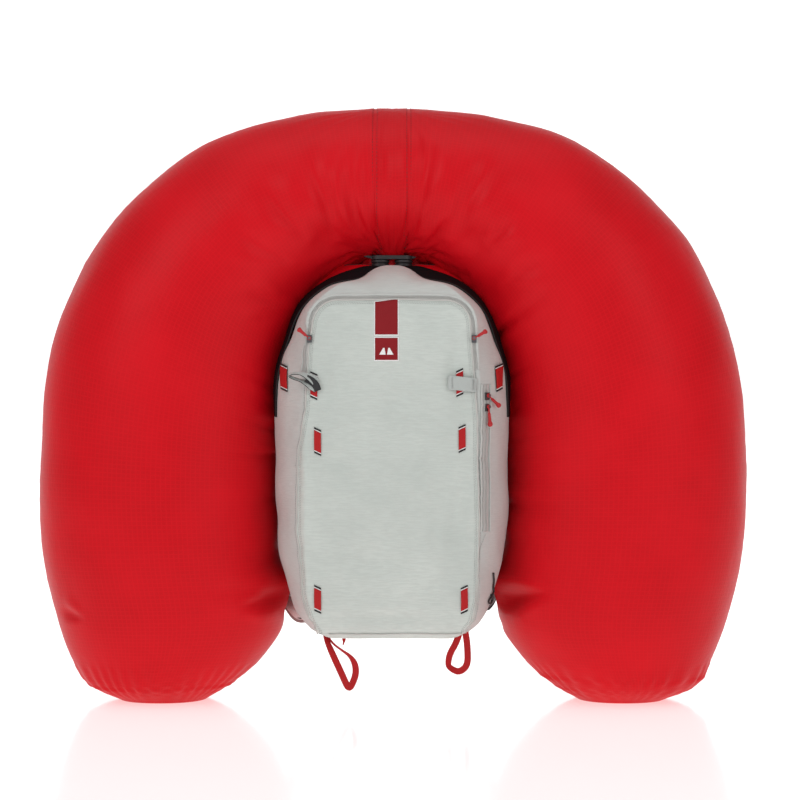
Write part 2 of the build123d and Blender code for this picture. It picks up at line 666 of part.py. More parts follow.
def main():
    os.makedirs("parts", exist_ok=True)

    chamber = airbag_chamber()
    save("airbag_chamber_right", chamber)
    save("airbag_chamber_left", mirrored(chamber))
    save("airbag_centre_band", airbag_band())

    for name, panel in pack_panels().items():
        save(name, panel)
    save("compartment_cover", compartment_cover())
    save("burst_zip", burst_zip())
    save("stripe_upper", stripe(502, 546))
    save("stripe_lower", stripe(468, 497))

    slider_x = FLAP_HALF + 2.6 + CHAIN_WIDTH / 2
    for name, side, turn in (("left", -1, -128), ("right", 1, 118)):
        plane = front_plane(side * slider_x, 496)
        save(f"arch_slider_{name}", zip_slider(plane))
        save(f"arch_pull_{name}", zip_pull(plane, turn, 15))
    chain_length = SIDE_ZIP_HIGH_Z - SIDE_ZIP_LOW_Z
    chain_middle = side_plane(SIDE_ZIP_X, SIDE_ZIP_LOW_Z + chain_length / 2)
    chain_box = Pos(0, 0, ZIP_LIFT + CHAIN_THICK / 2) * Box(CHAIN_WIDTH, chain_length, CHAIN_THICK)
    save("zip_chains", Compound([arch_zip(), chain_middle * chain_box]))
    for name, z, turn in (("upper", 420, 55), ("lower", 405, 4)):
        plane = side_plane(SIDE_ZIP_X, z)
        save(f"side_slider_{name}", zip_slider(plane))
        save(f"side_pull_{name}", zip_pull(plane, turn, 22))

    for name, side in (("left", -1), ("right", 1)):
        save(f"gas_neck_{name}", gas_neck(side * NECK_X))
        save(f"check_valve_{name}", check_valve(side * NECK_X))
    save("clamp_flange", clamp_flange())
    save("firing_head", firing_head())
    save("striker", striker())
    save("striker_spring", striker_spring())
    save("gas_cartridge", gas_cartridge())
    hose_left = tube("gas_hose_left", HOSE_LEFT_ROUTE, HOSE_R)
    hose_right = tube("gas_hose_right", HOSE_RIGHT_ROUTE, HOSE_R)
    save("gas_hoses", Compound([hose_left, hose_right]))

    save("trigger_dock", trigger_dock())
    save("trigger_handle", trigger_handle())
    save("trigger_cable", trigger_cable())

    save("back_foam", back_foam())
    save("frame_sheet", frame_sheet())
    save("frame_stay", frame_stay())
    for name, side in (("left", -1), ("right", 1)):
        save(f"shoulder_strap_{name}", shoulder_strap(side))
        save(f"hip_wing_{name}", hip_wing(side))
    save("strap_webbing", Compound([strap_webbing(-1), strap_webbing(1)]))
    save("ladder_locks", Compound([ladder_lock(-1), ladder_lock(1)]))
    save("sternum_rails", Compound([sternum_rail(-1), sternum_rail(1)]))
    save("sternum_slider_left", sternum_slider(-1))
    save("sternum_slider_right", sternum_slider(1))
    save("sternum_web_left", sternum_web(-1, -20.3))
    save("sternum_web_right", sternum_web(1, 31.4))
    save("sternum_buckle_female", sternum_female())
    save("sternum_buckle_male", sternum_male())
    save("hip_buckle_female", hip_buckle(-1, False))
    save("hip_buckle_male", hip_buckle(1, True))
    save("haul_loop", haul_loop())

    save("ski_strap_left", ski_strap_left())
    save("ski_strap_right", ski_strap_right())
    save("bottom_loop_left", bottom_loop(LOOP_LEFT_ROUTE))
    save("bottom_loop_right", bottom_loop(LOOP_RIGHT_ROUTE))
    save("gear_tabs", gear_tabs())


main()
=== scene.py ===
import math
import bmesh
import bpy
import numpy as np
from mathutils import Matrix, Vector, kdtree, noise


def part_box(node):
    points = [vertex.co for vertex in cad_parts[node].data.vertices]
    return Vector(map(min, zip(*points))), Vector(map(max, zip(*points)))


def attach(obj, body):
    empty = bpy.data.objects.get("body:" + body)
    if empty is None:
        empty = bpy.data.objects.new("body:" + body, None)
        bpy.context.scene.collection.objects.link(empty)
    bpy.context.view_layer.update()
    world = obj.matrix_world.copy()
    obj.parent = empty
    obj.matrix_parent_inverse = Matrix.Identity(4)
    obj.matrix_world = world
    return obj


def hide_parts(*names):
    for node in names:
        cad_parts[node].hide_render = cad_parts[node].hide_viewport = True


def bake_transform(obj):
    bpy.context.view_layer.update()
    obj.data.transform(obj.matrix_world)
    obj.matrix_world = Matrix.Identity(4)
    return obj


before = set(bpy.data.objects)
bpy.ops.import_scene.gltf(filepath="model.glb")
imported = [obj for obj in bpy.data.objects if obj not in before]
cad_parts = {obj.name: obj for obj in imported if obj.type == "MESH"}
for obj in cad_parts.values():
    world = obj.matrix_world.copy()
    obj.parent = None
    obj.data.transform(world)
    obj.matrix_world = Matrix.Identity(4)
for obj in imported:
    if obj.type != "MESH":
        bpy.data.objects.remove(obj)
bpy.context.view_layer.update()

MM = 0.001


# ================================================================ camera, floor and light
CAMERA_DISTANCE = 3.6
PICTURE_WIDTH = 1.115          # what the frame spans at the airbag's middle plane
CAMERA_POINT = (0.011, 0.415)  # x and z that the camera looks straight at


def make_camera():
    data = bpy.data.cameras.new("camera")
    data.sensor_width = 36
    data.lens = 36 * CAMERA_DISTANCE / PICTURE_WIDTH
    camera = bpy.data.objects.new("camera", data)
    camera.location = (CAMERA_POINT[0], -CAMERA_DISTANCE, CAMERA_POINT[1])
    camera.rotation_euler = (math.radians(90), 0, 0)
    bpy.context.scene.collection.objects.link(camera)
    bpy.context.scene.camera = camera


def area_light(name, place, target, size, power, colour=(1, 1, 1)):
    data = bpy.data.lights.new(name, "AREA")
    data.shape = "RECTANGLE"
    data.size, data.size_y = size
    data.energy = power
    data.color = colour
    light = bpy.data.objects.new(name, data)
    light.location = place
    light.rotation_euler = (Vector(target) - Vector(place)).to_track_quat("-Z", "Y").to_euler()
    bpy.context.scene.collection.objects.link(light)


def make_studio():
    world = bpy.data.worlds.new("studio")
    world.use_nodes = True
    background = world.node_tree.nodes["Background"]
    background.inputs["Color"].default_value = (1.0, 1.0, 1.0, 1)
    background.inputs["Strength"].default_value = 0.34
    bpy.context.scene.world = world
    bpy.context.scene.view_settings.view_transform = "Standard"
    bpy.context.scene.view_settings.look = "None"
    area_light("key_left", (-2.2, -3.0, 2.3), (0, 0, 0.45), (1.8, 1.8), 34)
    area_light("key_right", (2.3, -3.0, 2.0), (0, 0, 0.45), (1.8, 1.8), 25)
    area_light("top", (0, -0.6, 3.0), (0, 0, 0.4), (2.6, 2.0), 17)
    area_light("back_wall", (0, 1.6, 2.6), (0, 4.0, 0.8), (4.0, 1.0), 60)


def make_floor():
    """A floor that curves up into a backdrop far behind the object."""
    depth = 9.0
    rise = 4.0
    bend = 2.0
    line = [(-7.0, 0.0), (depth - bend, 0.0)]
    for step in range(1, 17):
        turn = math.pi / 2 * step / 16
        line.append((depth - bend + bend * math.sin(turn), bend - bend * math.cos(turn)))
    line.append((depth, rise + bend))
    verts = [(x, y, z) for y, z in line for x in (-12.0, 12.0)]
    faces = [(2 * i, 2 * i + 1, 2 * i + 3, 2 * i + 2) for i in range(len(line) - 1)]
    mesh = bpy.data.meshes.new("studio_floor")
    mesh.from_pydata(verts, [], faces)
    mesh.shade_smooth()
    floor = bpy.data.objects.new("studio_floor", mesh)
    floor.location.z = -0.0005
    bpy.context.scene.collection.objects.link(floor)
    mesh.materials.append(floor_material())


# ================================================================ materials
class Nodes:
    """Short hand for building a procedural material."""

    def __init__(self, name, **sockets):
        self.material = bpy.data.materials.new(name)
        self.material.use_nodes = True
        self.tree = self.material.node_tree
        self.shader = self.tree.nodes["Principled BSDF"]
        for label, value in sockets.items():
            self.shader.inputs[label.replace("_", " ")].default_value = value

    def add(self, kind, links=None, **settings):
        node = self.tree.nodes.new(kind)
        for key, value in settings.items():
            if key in node.bl_rna.properties:
                setattr(node, key, value)
            else:
                node.inputs[key.replace("_", " ")].default_value = value
        for key, source in (links or {}).items():
            self.link(source, node.inputs[key])
        return node

    def link(self, source, target):
        socket = source if isinstance(source, bpy.types.NodeSocket) else source.outputs[0]
        self.tree.links.new(socket, target)

    def math(self, operation, a, b=None):
        node = self.tree.nodes.new("ShaderNodeMath")
        node.operation = operation
        for index, value in enumerate((a, b)):
            if value is None:
                continue
            if isinstance(value, (int, float)):
                node.inputs[index].default_value = value
            else:
                self.link(value, node.inputs[index])
        return node

    def place(self, kind="UV", scale=(1, 1, 1)):
        where = self.tree.nodes.new("ShaderNodeTexCoord")
        node = self.tree.nodes.new("ShaderNodeMapping")
        node.inputs["Scale"].default_value = scale
        self.link(where.outputs[kind], node.inputs["Vector"])
        return node

    def noise(self, scale, detail=3.0, kind="Object", roughness=0.55):
        return self.add("ShaderNodeTexNoise", {"Vector": self.place(kind)},
                        Scale=scale, Detail=detail, Roughness=roughness)

    def ramp(self, source, stops):
        node = self.add("ShaderNodeValToRGB", {0: source})
        while len(node.color_ramp.elements) < len(stops):
            node.color_ramp.elements.new(0.5)
        for element, (place, colour) in zip(node.color_ramp.elements, stops):
            element.position = place
            element.color = (*colour, 1) if len(colour) == 3 else colour
        return node

    def mix(self, share, a, b):
        node = self.tree.nodes.new("ShaderNodeMix")
        node.data_type = "RGBA"
        for socket, value in ((node.inputs[0], share), (node.inputs[6], a), (node.inputs[7], b)):
            if isinstance(value, (int, float)):
                socket.default_value = value
            elif isinstance(value, tuple):
                socket.default_value = (*value, 1)
            else:
                self.link(value, socket)
        return node.outputs[2]

    def bump(self, height, strength, distance, before=None):
        node = self.add("ShaderNodeBump", {"Height": height}, Strength=strength, Distance=distance)
        if before is not None:
            self.link(before, node.inputs["Normal"])
        return node

    def split(self, coordinates="UV"):
        """The separate coordinates of a cloth, in metres."""
        return self.add("ShaderNodeSeparateXYZ", {0: self.place(coordinates)}).outputs

    def wave(self, source, length):
        return self.math("SINE", self.math("MULTIPLY", source, 2 * math.pi / length))

    def two_tone(self, cloud, deep, colour):
        """A colour that drifts between two shades over the cloth."""
        return self.mix(self.ramp(cloud, [(0.35, (0, 0, 0)), (0.7, (1, 1, 1))]), deep, colour)

    def worn(self, start, end, level):
        """0 on flat parts, rising along convex edges, where the surface is rubbed."""
        edge = self.add("ShaderNodeNewGeometry").outputs["Pointiness"]
        return self.ramp(edge, [(start, (0, 0, 0)), (end, (level, level, level))])

    def finish(self, colour=None, roughness=None, normal=None):
        for label, source in (("Base Color", colour), ("Roughness", roughness), ("Normal", normal)):
            if source is not None:
                self.link(source, self.shader.inputs[label])
        return self.material


def shade(colour, factor):
    return tuple(min(1.0, channel * factor) for channel in colour)


def roughness_range(n, source, low, high):
    return n.add("ShaderNodeMapRange", {0: source}, To_Min=low, To_Max=high)


def thread_lines(n, coordinate, pitch, width):
    """1 on a thread of a grid with that pitch, 0 between, with soft edges."""
    part = n.math("FRACT", n.math("DIVIDE", coordinate, pitch))
    away = n.math("ABSOLUTE", n.math("SUBTRACT", part, 0.5))
    return n.add("ShaderNodeMapRange", {0: away}, interpolation_type="SMOOTHSTEP",
                 From_Min=0.5 - width / pitch, From_Max=0.5)


FINE_WEAVE = 0.0009


def ripstop(name, colour, deep, pitch=0.006, thread=0.0011, roughness=(0.42, 0.56), line_tint=1.16,
            **sockets):
    """Light coated cloth with a raised grid of heavier threads."""
    n = Nodes(name, **sockets)
    at = n.split()
    threads = n.math("MAXIMUM", *[thread_lines(n, at[k], pitch, thread) for k in (0, 1)])
    weave = n.math("MULTIPLY", *[n.wave(at[k], FINE_WEAVE) for k in (0, 1)])
    cloud = n.noise(9.0, 4.0)
    tint = n.two_tone(cloud, deep, colour)
    tint = n.mix(n.math("MULTIPLY", threads, 0.40), tint, shade(colour, line_tint))
    folds = n.noise(55.0, 5.0, roughness=0.62)
    relief = n.bump(threads, 0.20, 0.00022)
    relief = n.bump(weave, 0.10, 0.0001, relief)
    relief = n.bump(folds, 0.55, 0.0011, relief)
    return n.finish(tint, roughness_range(n, cloud, *roughness), relief)


def slub_cloth(name, colour, deep, crinkle=0.0010, strength=0.30, **sockets):
    """Matt polyester pack cloth: fine, uneven threads that run across in short streaks."""
    n = Nodes(name, **sockets)
    streak, fleck = [
        n.add("ShaderNodeTexNoise", {"Vector": n.place("Object", scale)}, Scale=1.0, Detail=2.0)
        for scale in ((70.0, 70.0, 620.0), (420.0, 420.0, 1500.0))]
    slub = n.ramp(streak, [(0.40, (0, 0, 0)), (0.60, (1, 1, 1))])
    cloud = n.noise(9.0, 4.0)
    tint = n.two_tone(cloud, deep, colour)
    tint = n.mix(n.math("MULTIPLY", slub, strength), tint, shade(deep, 0.82))
    tint = n.mix(n.math("MULTIPLY", fleck, 0.22), tint, shade(colour, 1.12))
    folds = n.noise(48.0, 5.0, roughness=0.62)
    relief = n.bump(slub, 0.30, 0.00030)
    relief = n.bump(fleck, 0.20, 0.00015, relief)
    relief = n.bump(folds, 0.60, crinkle, relief)
    return n.finish(tint, roughness_range(n, cloud, 0.62, 0.78), relief)


def webbing(name, colour, deep, rib=0.0016, roughness=(0.62, 0.8), **sockets):
    """Woven strap: ribs across its length and a fine diagonal twill."""
    n = Nodes(name, **sockets)
    at = n.split()
    twill = n.wave(n.math("ADD", at[0], at[1]), rib * 0.8)
    weave = n.math("ADD", n.wave(at[0], rib), n.math("MULTIPLY", twill, 0.6))
    share = n.add("ShaderNodeMapRange", {0: weave}, From_Min=-1.6, From_Max=1.6)
    cloud = n.noise(40.0, 4.0)
    tint = n.mix(share, deep, colour)
    tint = n.mix(n.math("MULTIPLY", cloud, 0.35), tint, shade(deep, 0.9))
    relief = n.bump(weave, 0.35, 0.0003)
    return n.finish(tint, roughness_range(n, cloud, *roughness), relief)


def plastic(name, colour, roughness=(0.35, 0.55), grain=900.0, wear=1.6, **sockets):
    """Moulded nylon with a fine spark texture and paler worn edges."""
    n = Nodes(name, **sockets)
    speck = n.noise(grain, 2.0)
    cloud = n.noise(30.0, 4.0)
    pale = shade(colour, wear if max(colour) > 0.1 else 2.4)
    tint = n.mix(n.worn(0.50, 0.58, 0.55), colour, pale)
    tint = n.mix(n.math("MULTIPLY", cloud, 0.3), tint, shade(colour, 0.75))
    relief = n.bump(speck, 0.16, 0.0002)
    return n.finish(tint, roughness_range(n, cloud, *roughness), relief)


def metal(name, colour, roughness=(0.25, 0.45), brushed=False, **sockets):
    """Metal with faint drawing marks, smudges and brighter worn edges."""
    n = Nodes(name, Metallic=1.0, **sockets)
    stretch = (60, 60, 900) if brushed else (300, 300, 300)
    marks = n.add("ShaderNodeTexNoise", {"Vector": n.place("Object", stretch)}, Detail=4.0)
    cloud = n.noise(28.0, 4.0)
    tint = n.mix(n.math("MULTIPLY", cloud, 0.4), colour, shade(colour, 0.7))
    tint = n.mix(n.worn(0.51, 0.6, 0.6), tint, shade(colour, 1.5))
    relief = n.bump(marks, 0.12, 0.0002)
    return n.finish(tint, roughness_range(n, cloud, *roughness), relief)


def spacer_mesh(name, colour, hole, size=420.0, **sockets):
    """Knitted spacer mesh: small dark holes in a soft cloth."""
    n = Nodes(name, **sockets)
    cells = n.add("ShaderNodeTexVoronoi", {"Vector": n.place("Object")}, Scale=size, Randomness=0.35)
    holes = n.ramp(cells.outputs["Distance"], [(0.22, (1, 1, 1)), (0.42, (0, 0, 0))])
    cloud = n.noise(25.0, 4.0)
    tint = n.mix(holes, colour, hole)
    tint = n.mix(n.math("MULTIPLY", cloud, 0.4), tint, shade(colour, 0.7))
    relief = n.bump(holes, -0.6, 0.0008)
    return n.finish(tint, roughness_range(n, cloud, 0.75, 0.92), relief)


def floor_material():
    n = Nodes("studio_floor", Roughness=0.12, IOR=1.32, Emission_Strength=0.50, Emission_Color=(1, 1, 1, 1))
    return n.finish(n.mix(n.noise(1.5, 2.0), (0.93, 0.93, 0.93), (0.96, 0.96, 0.96)))


M = {
    "airbag": ripstop("airbag_fabric", (0.65, 0.0036, 0.0105), (0.57, 0.0026, 0.0080), 0.0056, 0.0012,
                      (0.38, 0.50), 1.10, Specular_IOR_Level=0.14),
    "band": ripstop("airbag_band_fabric", (0.63, 0.0034, 0.0098), (0.55, 0.0025, 0.0076), 0.0056, 0.0012,
                    (0.38, 0.50), 1.10, Specular_IOR_Level=0.14),
    "front": slub_cloth("front_fabric", (0.600, 0.640, 0.600), (0.520, 0.560, 0.525), 0.0013,
                        Specular_IOR_Level=0.3, Sheen_Weight=0.08),
    "side": slub_cloth("side_fabric", (0.56, 0.575, 0.55), (0.49, 0.505, 0.485), 0.0015, 0.22,
                       Specular_IOR_Level=0.3, Sheen_Weight=0.08),
    "lining": ripstop("lining_fabric", (0.16, 0.165, 0.17), (0.12, 0.12, 0.125), 0.005, 0.0009, (0.55, 0.7)),
    "black_fabric": ripstop("black_fabric", (0.006, 0.006, 0.007), (0.004, 0.004, 0.0045), 0.004, 0.0009,
                            (0.60, 0.75), 1.5, Specular_IOR_Level=0.12),
    "red_web": webbing("red_webbing", (0.56, 0.016, 0.018), (0.38, 0.010, 0.012), Specular_IOR_Level=0.25),
    "grey_web": webbing("grey_webbing", (0.52, 0.55, 0.53), (0.40, 0.43, 0.41)),
    "black_web": webbing("black_webbing", (0.030, 0.030, 0.032), (0.012, 0.012, 0.013)),
    "stripe": webbing("stripe_red", (0.30, 0.009, 0.014), (0.23, 0.006, 0.010), 0.0009, (0.5, 0.65),
                      Specular_IOR_Level=0.2),
    "white_print": webbing("white_print", (0.93, 0.93, 0.92), (0.87, 0.87, 0.86), 0.0009, (0.45, 0.6)),
    "piping": webbing("seam_piping", (0.62, 0.61, 0.58), (0.52, 0.51, 0.48), 0.0012),
    "thread": webbing("sewing_thread", (0.50, 0.51, 0.49), (0.36, 0.37, 0.36), 0.0006),
    "red_thread": webbing("red_thread", (0.40, 0.01, 0.015), (0.28, 0.008, 0.01), 0.0006),
    "black_thread": webbing("black_thread", (0.014, 0.014, 0.015), (0.006, 0.006, 0.006), 0.0006),
    "cord": webbing("pull_cord", (0.62, 0.025, 0.03), (0.36, 0.012, 0.014), 0.0011),
    "black_cord": webbing("black_cord", (0.03, 0.03, 0.032), (0.010, 0.010, 0.010), 0.0012),
    "plastic": plastic("black_plastic", (0.022, 0.022, 0.023)),
    "sheet": plastic("frame_plastic", (0.04, 0.04, 0.042), (0.4, 0.6)),
    "trigger": plastic("trigger_red", (0.60, 0.015, 0.02), (0.22, 0.4), Coat_Weight=0.3),
    "coil": plastic("zip_chain", (0.46, 0.46, 0.44), (0.4, 0.6)),
    "tape": webbing("zip_tape", (0.56, 0.55, 0.53), (0.44, 0.43, 0.41), 0.0009),
    "black_tape": webbing("black_tape", (0.02, 0.02, 0.02), (0.012, 0.012, 0.012), 0.0009),
    "zip_metal": metal("zip_metal", (0.16, 0.16, 0.17), (0.3, 0.5)),
    "aluminium": metal("stay_aluminium", (0.72, 0.72, 0.74), brushed=True),
    "head_metal": metal("head_aluminium", (0.12, 0.12, 0.13), (0.35, 0.5)),
    "cartridge": metal("cartridge_aluminium", (0.48, 0.49, 0.52), (0.28, 0.42), brushed=True),
    "steel": metal("striker_steel", (0.55, 0.55, 0.56), (0.18, 0.32), brushed=True),
    "rubber": plastic("hose_rubber", (0.018, 0.018, 0.019), (0.55, 0.7), 1400.0),
    "back_mesh": spacer_mesh("back_mesh", (0.085, 0.085, 0.09), (0.012, 0.012, 0.012)),
    "strap_mesh": spacer_mesh("strap_mesh", (0.075, 0.075, 0.08), (0.012, 0.012, 0.012), 520.0),
    "strap_cloth": ripstop("strap_fabric", (0.055, 0.056, 0.060), (0.035, 0.036, 0.038), 0.004, 0.0009,
                           (0.6, 0.75), 1.4, Sheen_Weight=0.2),
    "pocket_mesh": spacer_mesh("pocket_mesh", (0.90, 0.92, 0.90), (0.62, 0.64, 0.63), 620.0),
}


# ================================================================ mesh helpers
def new_object(name, verts, faces, material, uvs=None, smooth=True):
    mesh = bpy.data.meshes.new(name)
    mesh.from_pydata(np.asarray(verts, float).tolist(), [], [list(map(int, face)) for face in faces])
    if uvs is not None:
        layer = mesh.uv_layers.new(name="metres")
        layer.data.foreach_set("uv", np.asarray(uvs, np.float32).ravel())
    if smooth:
        mesh.shade_smooth()
    mesh.materials.append(material)
    mesh.validate()
    obj = bpy.data.objects.new(name, mesh)
    bpy.context.scene.collection.objects.link(obj)
    return obj


def grid_faces(points, wrap=False, flip=False, keep=None):
    """Quads and metre UVs over an array of points (rows, columns, 3)."""
    rows, columns = points.shape[:2]
    index = np.arange(rows * columns).reshape(rows, columns)
    count = columns if wrap else columns - 1
    right = (np.arange(count) + 1) % columns
    corners = np.stack([index[:-1, :count], index[:-1, right], index[1:, right], index[1:, :count]], -1)
    down = np.linalg.norm(np.diff(points, axis=0), axis=2).mean(1)
    closed = np.concatenate([points, points[:, :1]], 1) if wrap else points
    over = np.linalg.norm(np.diff(closed, axis=1), axis=2).mean(0)
    u = np.concatenate([[0], np.cumsum(down)])
    v = np.concatenate([[0], np.cumsum(over)])
    i, j = np.meshgrid(np.arange(rows - 1), np.arange(count), indexing="ij")
    uv = np.stack([
        np.stack([u[i], v[j]], -1),
        np.stack([u[i], v[j + 1]], -1),
        np.stack([u[i + 1], v[j + 1]], -1),
        np.stack([u[i + 1], v[j]], -1),
    ], 2)
    if keep is not None:
        corners, uv = corners[keep], uv[keep]
    corners, uv = corners.reshape(-1, 4), uv.reshape(-1, 4, 2)
    if flip:
        corners, uv = corners[:, ::-1], uv[:, ::-1]
    return corners, uv


def grid(name, points, material, wrap=False, flip=False, keep=None):
    points = np.asarray(points, float)
    faces, uv = grid_faces(points, wrap, flip, keep)
    return drop_loose(new_object(name, points.reshape(-1, 3), faces, material, uv))


def edit_mesh(obj, change):
    work = bmesh.new()
    work.from_mesh(obj.data)
    change(work)
    work.to_mesh(obj.data)
    work.free()
    return obj


def drop_loose(obj):
    return edit_mesh(obj, lambda work: bmesh.ops.delete(
        work, geom=[vert for vert in work.verts if not vert.link_faces], context="VERTS"))


def outward(obj):
    """Makes a closed mesh's normals point out of it."""
    return edit_mesh(obj, lambda work: bmesh.ops.recalc_face_normals(work, faces=work.faces))


def modify(obj, kind, **settings):
    """Adds a modifier and applies it."""
    modifier = obj.modifiers.new(kind.lower(), kind)
    for key, value in settings.items():
        setattr(modifier, key, value)
    with bpy.context.temp_override(object=obj, active_object=obj, selected_objects=[obj]):
        bpy.ops.object.modifier_apply(modifier=modifier.name)
    return obj


def join(name, objects):
    objects = [obj for obj in objects if obj is not None]
    with bpy.context.temp_override(active_object=objects[0], object=objects[0],
                                   selected_objects=objects, selected_editable_objects=objects):
        bpy.ops.object.join()
    objects[0].name = name
    objects[0].data.name = name
    return objects[0]


def run_length(path):
    """The length along a path at each of its points."""
    return np.concatenate([[0], np.cumsum(np.linalg.norm(np.diff(path, axis=0), axis=1))])


def evenly(path, count):
    """The same path with its points evenly spaced by length."""
    along = run_length(path)
    want = np.linspace(0, along[-1], count)
    return np.stack([np.interp(want, along, path[:, k]) for k in range(path.shape[1])], 1)


def smooth_curve(points, count):
    """Points along a curve through the given points, evenly spaced by length."""
    points = np.asarray(points, float)
    slopes = np.gradient(points, axis=0)
    a, b = points[:-1, None], points[1:, None]
    ta, tb = slopes[:-1, None], slopes[1:, None]
    t = np.linspace(0, 1, 24, endpoint=False)[None, :, None]
    fine = ((2 * t**3 - 3 * t**2 + 1) * a + (t**3 - 2 * t**2 + t) * ta
            + (-2 * t**3 + 3 * t**2) * b + (t**3 - t**2) * tb).reshape(-1, points.shape[1])
    return evenly(np.concatenate([fine, points[-1:]]), count)


def rounded(points, count):
    """A smooth path that rounds the corners of a polygon of points, by corner cutting."""
    points = np.asarray(points, float)
    for _ in range(5):
        near = points[:-1] * 0.75 + points[1:] * 0.25
        far = points[:-1] * 0.25 + points[1:] * 0.75
        cut = np.stack([near, far], 1).reshape(-1, points.shape[1])
        points = np.concatenate([points[:1], cut, points[-1:]])
    return evenly(points, count)


def bell(away, width):
    return np.exp(-(away / width) ** 2)


def falling(past, width):
    """1 well below zero and 0 well above it, with a soft step between."""
    return 1 / (1 + np.exp(past / width))


def full_turn(count):
    """Angles all the way round, without the last one that repeats the first."""
    return np.linspace(0, 2 * math.pi, count, endpoint=False)


def squared(values, power):
    """Squares a circle's cosine or sine towards a box as the power falls below 1."""
    return np.sign(values) * np.abs(values) ** power


def unit(vectors):
    vectors = np.asarray(vectors, float)
    return vectors / np.maximum(np.linalg.norm(vectors, axis=-1, keepdims=True), 1e-12)


def tangents(path):
    return unit(np.gradient(path, axis=0))


def crosswise(path, normals):
    """The direction across a path that lies on a surface."""
    return unit(np.cross(tangents(path), normals))


def capped(name, rings, material):
    """A closed skin over rings of points, with its two ends shut by fans."""
    rings = np.asarray(rings, float)
    rows, columns = rings.shape[:2]
    faces, uv = grid_faces(rings, wrap=True)
    verts = np.concatenate([rings.reshape(-1, 3), rings[:1].mean(1), rings[-1:].mean(1)])
    first, last = rows * columns, rows * columns + 1
    fans, fan_uv = [], []
    for j in range(columns):
        k = (j + 1) % columns
        fans.append((k, j, first))
        fans.append(((rows - 1) * columns + j, (rows - 1) * columns + k, last))
        fan_uv += [[(0, 0), (0, MM), (MM, 0)]] * 2
    faces = [list(face) for face in faces] + fans
    uvs = np.concatenate([uv.reshape(-1, 2), np.array(fan_uv).reshape(-1, 2)])
    return outward(new_object(name, verts, faces, material, uvs))


def strap(name, path, width, thick, material, side, edge=10, power=2.6):
    """A flat strap with rounded edges along a path; side is the direction of its width."""
    path = np.asarray(path, float)
    along = tangents(path)
    side = np.broadcast_to(np.asarray(side, float), path.shape)
    across = unit(side - along * (side * along).sum(1, keepdims=True))
    up = np.cross(along, across)
    turn = full_turn(edge * 2)
    flat = squared(np.cos(turn), 2 / 6)
    tall = squared(np.sin(turn), 2 / power)
    width = np.broadcast_to(np.asarray(width, float), len(path))
    thick = np.broadcast_to(np.asarray(thick, float), len(path))
    rings = (path[:, None] + across[:, None] * (flat[None, :, None] * width[:, None, None] / 2)
             + up[:, None] * (tall[None, :, None] * thick[:, None, None] / 2))
    return capped(name, rings, material)


def tube(name, path, radius, material, sides=12):
    """A round cord along a path."""
    path = np.asarray(path, float)
    along = tangents(path)
    guide = np.array([0.0, 0.0, 1.0]) if abs(along[0][2]) < 0.9 else np.array([1.0, 0.0, 0.0])
    frames = []
    for direction in along:
        guide = guide - direction * guide.dot(direction)
        guide = guide / np.linalg.norm(guide)
        frames.append(guide)
    normal = np.array(frames)
    other = np.cross(along, normal)
    turn = full_turn(sides)
    radius = np.broadcast_to(np.asarray(radius, float), len(path))
    rings = (path[:, None] + normal[:, None] * (np.cos(turn)[None, :, None] * radius[:, None, None])
             + other[:, None] * (np.sin(turn)[None, :, None] * radius[:, None, None]))
    return capped(name, rings, material)


def stitches(name, path, normals, material, pitch=0.0034, length=0.0024, radius=0.00032, lift=0.0002):
    """A row of thread stitches along a path on a surface."""
    path = np.asarray(path, float)
    along = run_length(path)
    count = int(along[-1] / pitch)
    if count < 1:
        return None
    normals = np.broadcast_to(np.asarray(normals, float), path.shape)
    starts = (np.arange(count) + 0.5) * pitch
    turn = full_turn(6)
    shares = np.array([-0.5, -0.32, 0.32, 0.5])
    swell = np.array([0.25, 1.0, 1.0, 0.25])
    verts, faces = [], []

    def value_at(want, values):
        return np.array([np.interp(want, along, values[:, k]) for k in range(3)])

    for start in starts:
        at = value_at(start, path)
        up = unit(value_at(start, normals))
        run = unit(value_at(start + pitch * 0.2, path) - at)
        side = np.cross(run, up)
        base = len(verts)
        for share, size in zip(shares, swell):
            middle = at + run * share * length + up * (lift if size == 1.0 else -radius * 0.6)
            for angle in turn:
                verts.append(middle + (side * math.cos(angle) * 1.1 + up * math.sin(angle)) * radius * size)
        for ring in range(3):
            for k in range(6):
                m = (k + 1) % 6
                faces.append((base + ring * 6 + k, base + ring * 6 + m, base + ring * 6 + 6 + m,
                              base + ring * 6 + 6 + k))
    uvs = np.array(verts)[np.array(faces).ravel()][:, :2]
    return new_object(name, verts, faces, material, uvs)


def hide_behind(obj, body, slot, *nodes):
    """Rides a piece on its body and hides the CAD nodes that it stands for; its slot is not used."""
    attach(obj, body)
    if nodes:
        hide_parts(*nodes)
    return obj


def fold_with_flap(piece):
    """Bakes a piece of the pack's front into world coordinates."""
    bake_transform(piece)
    return piece


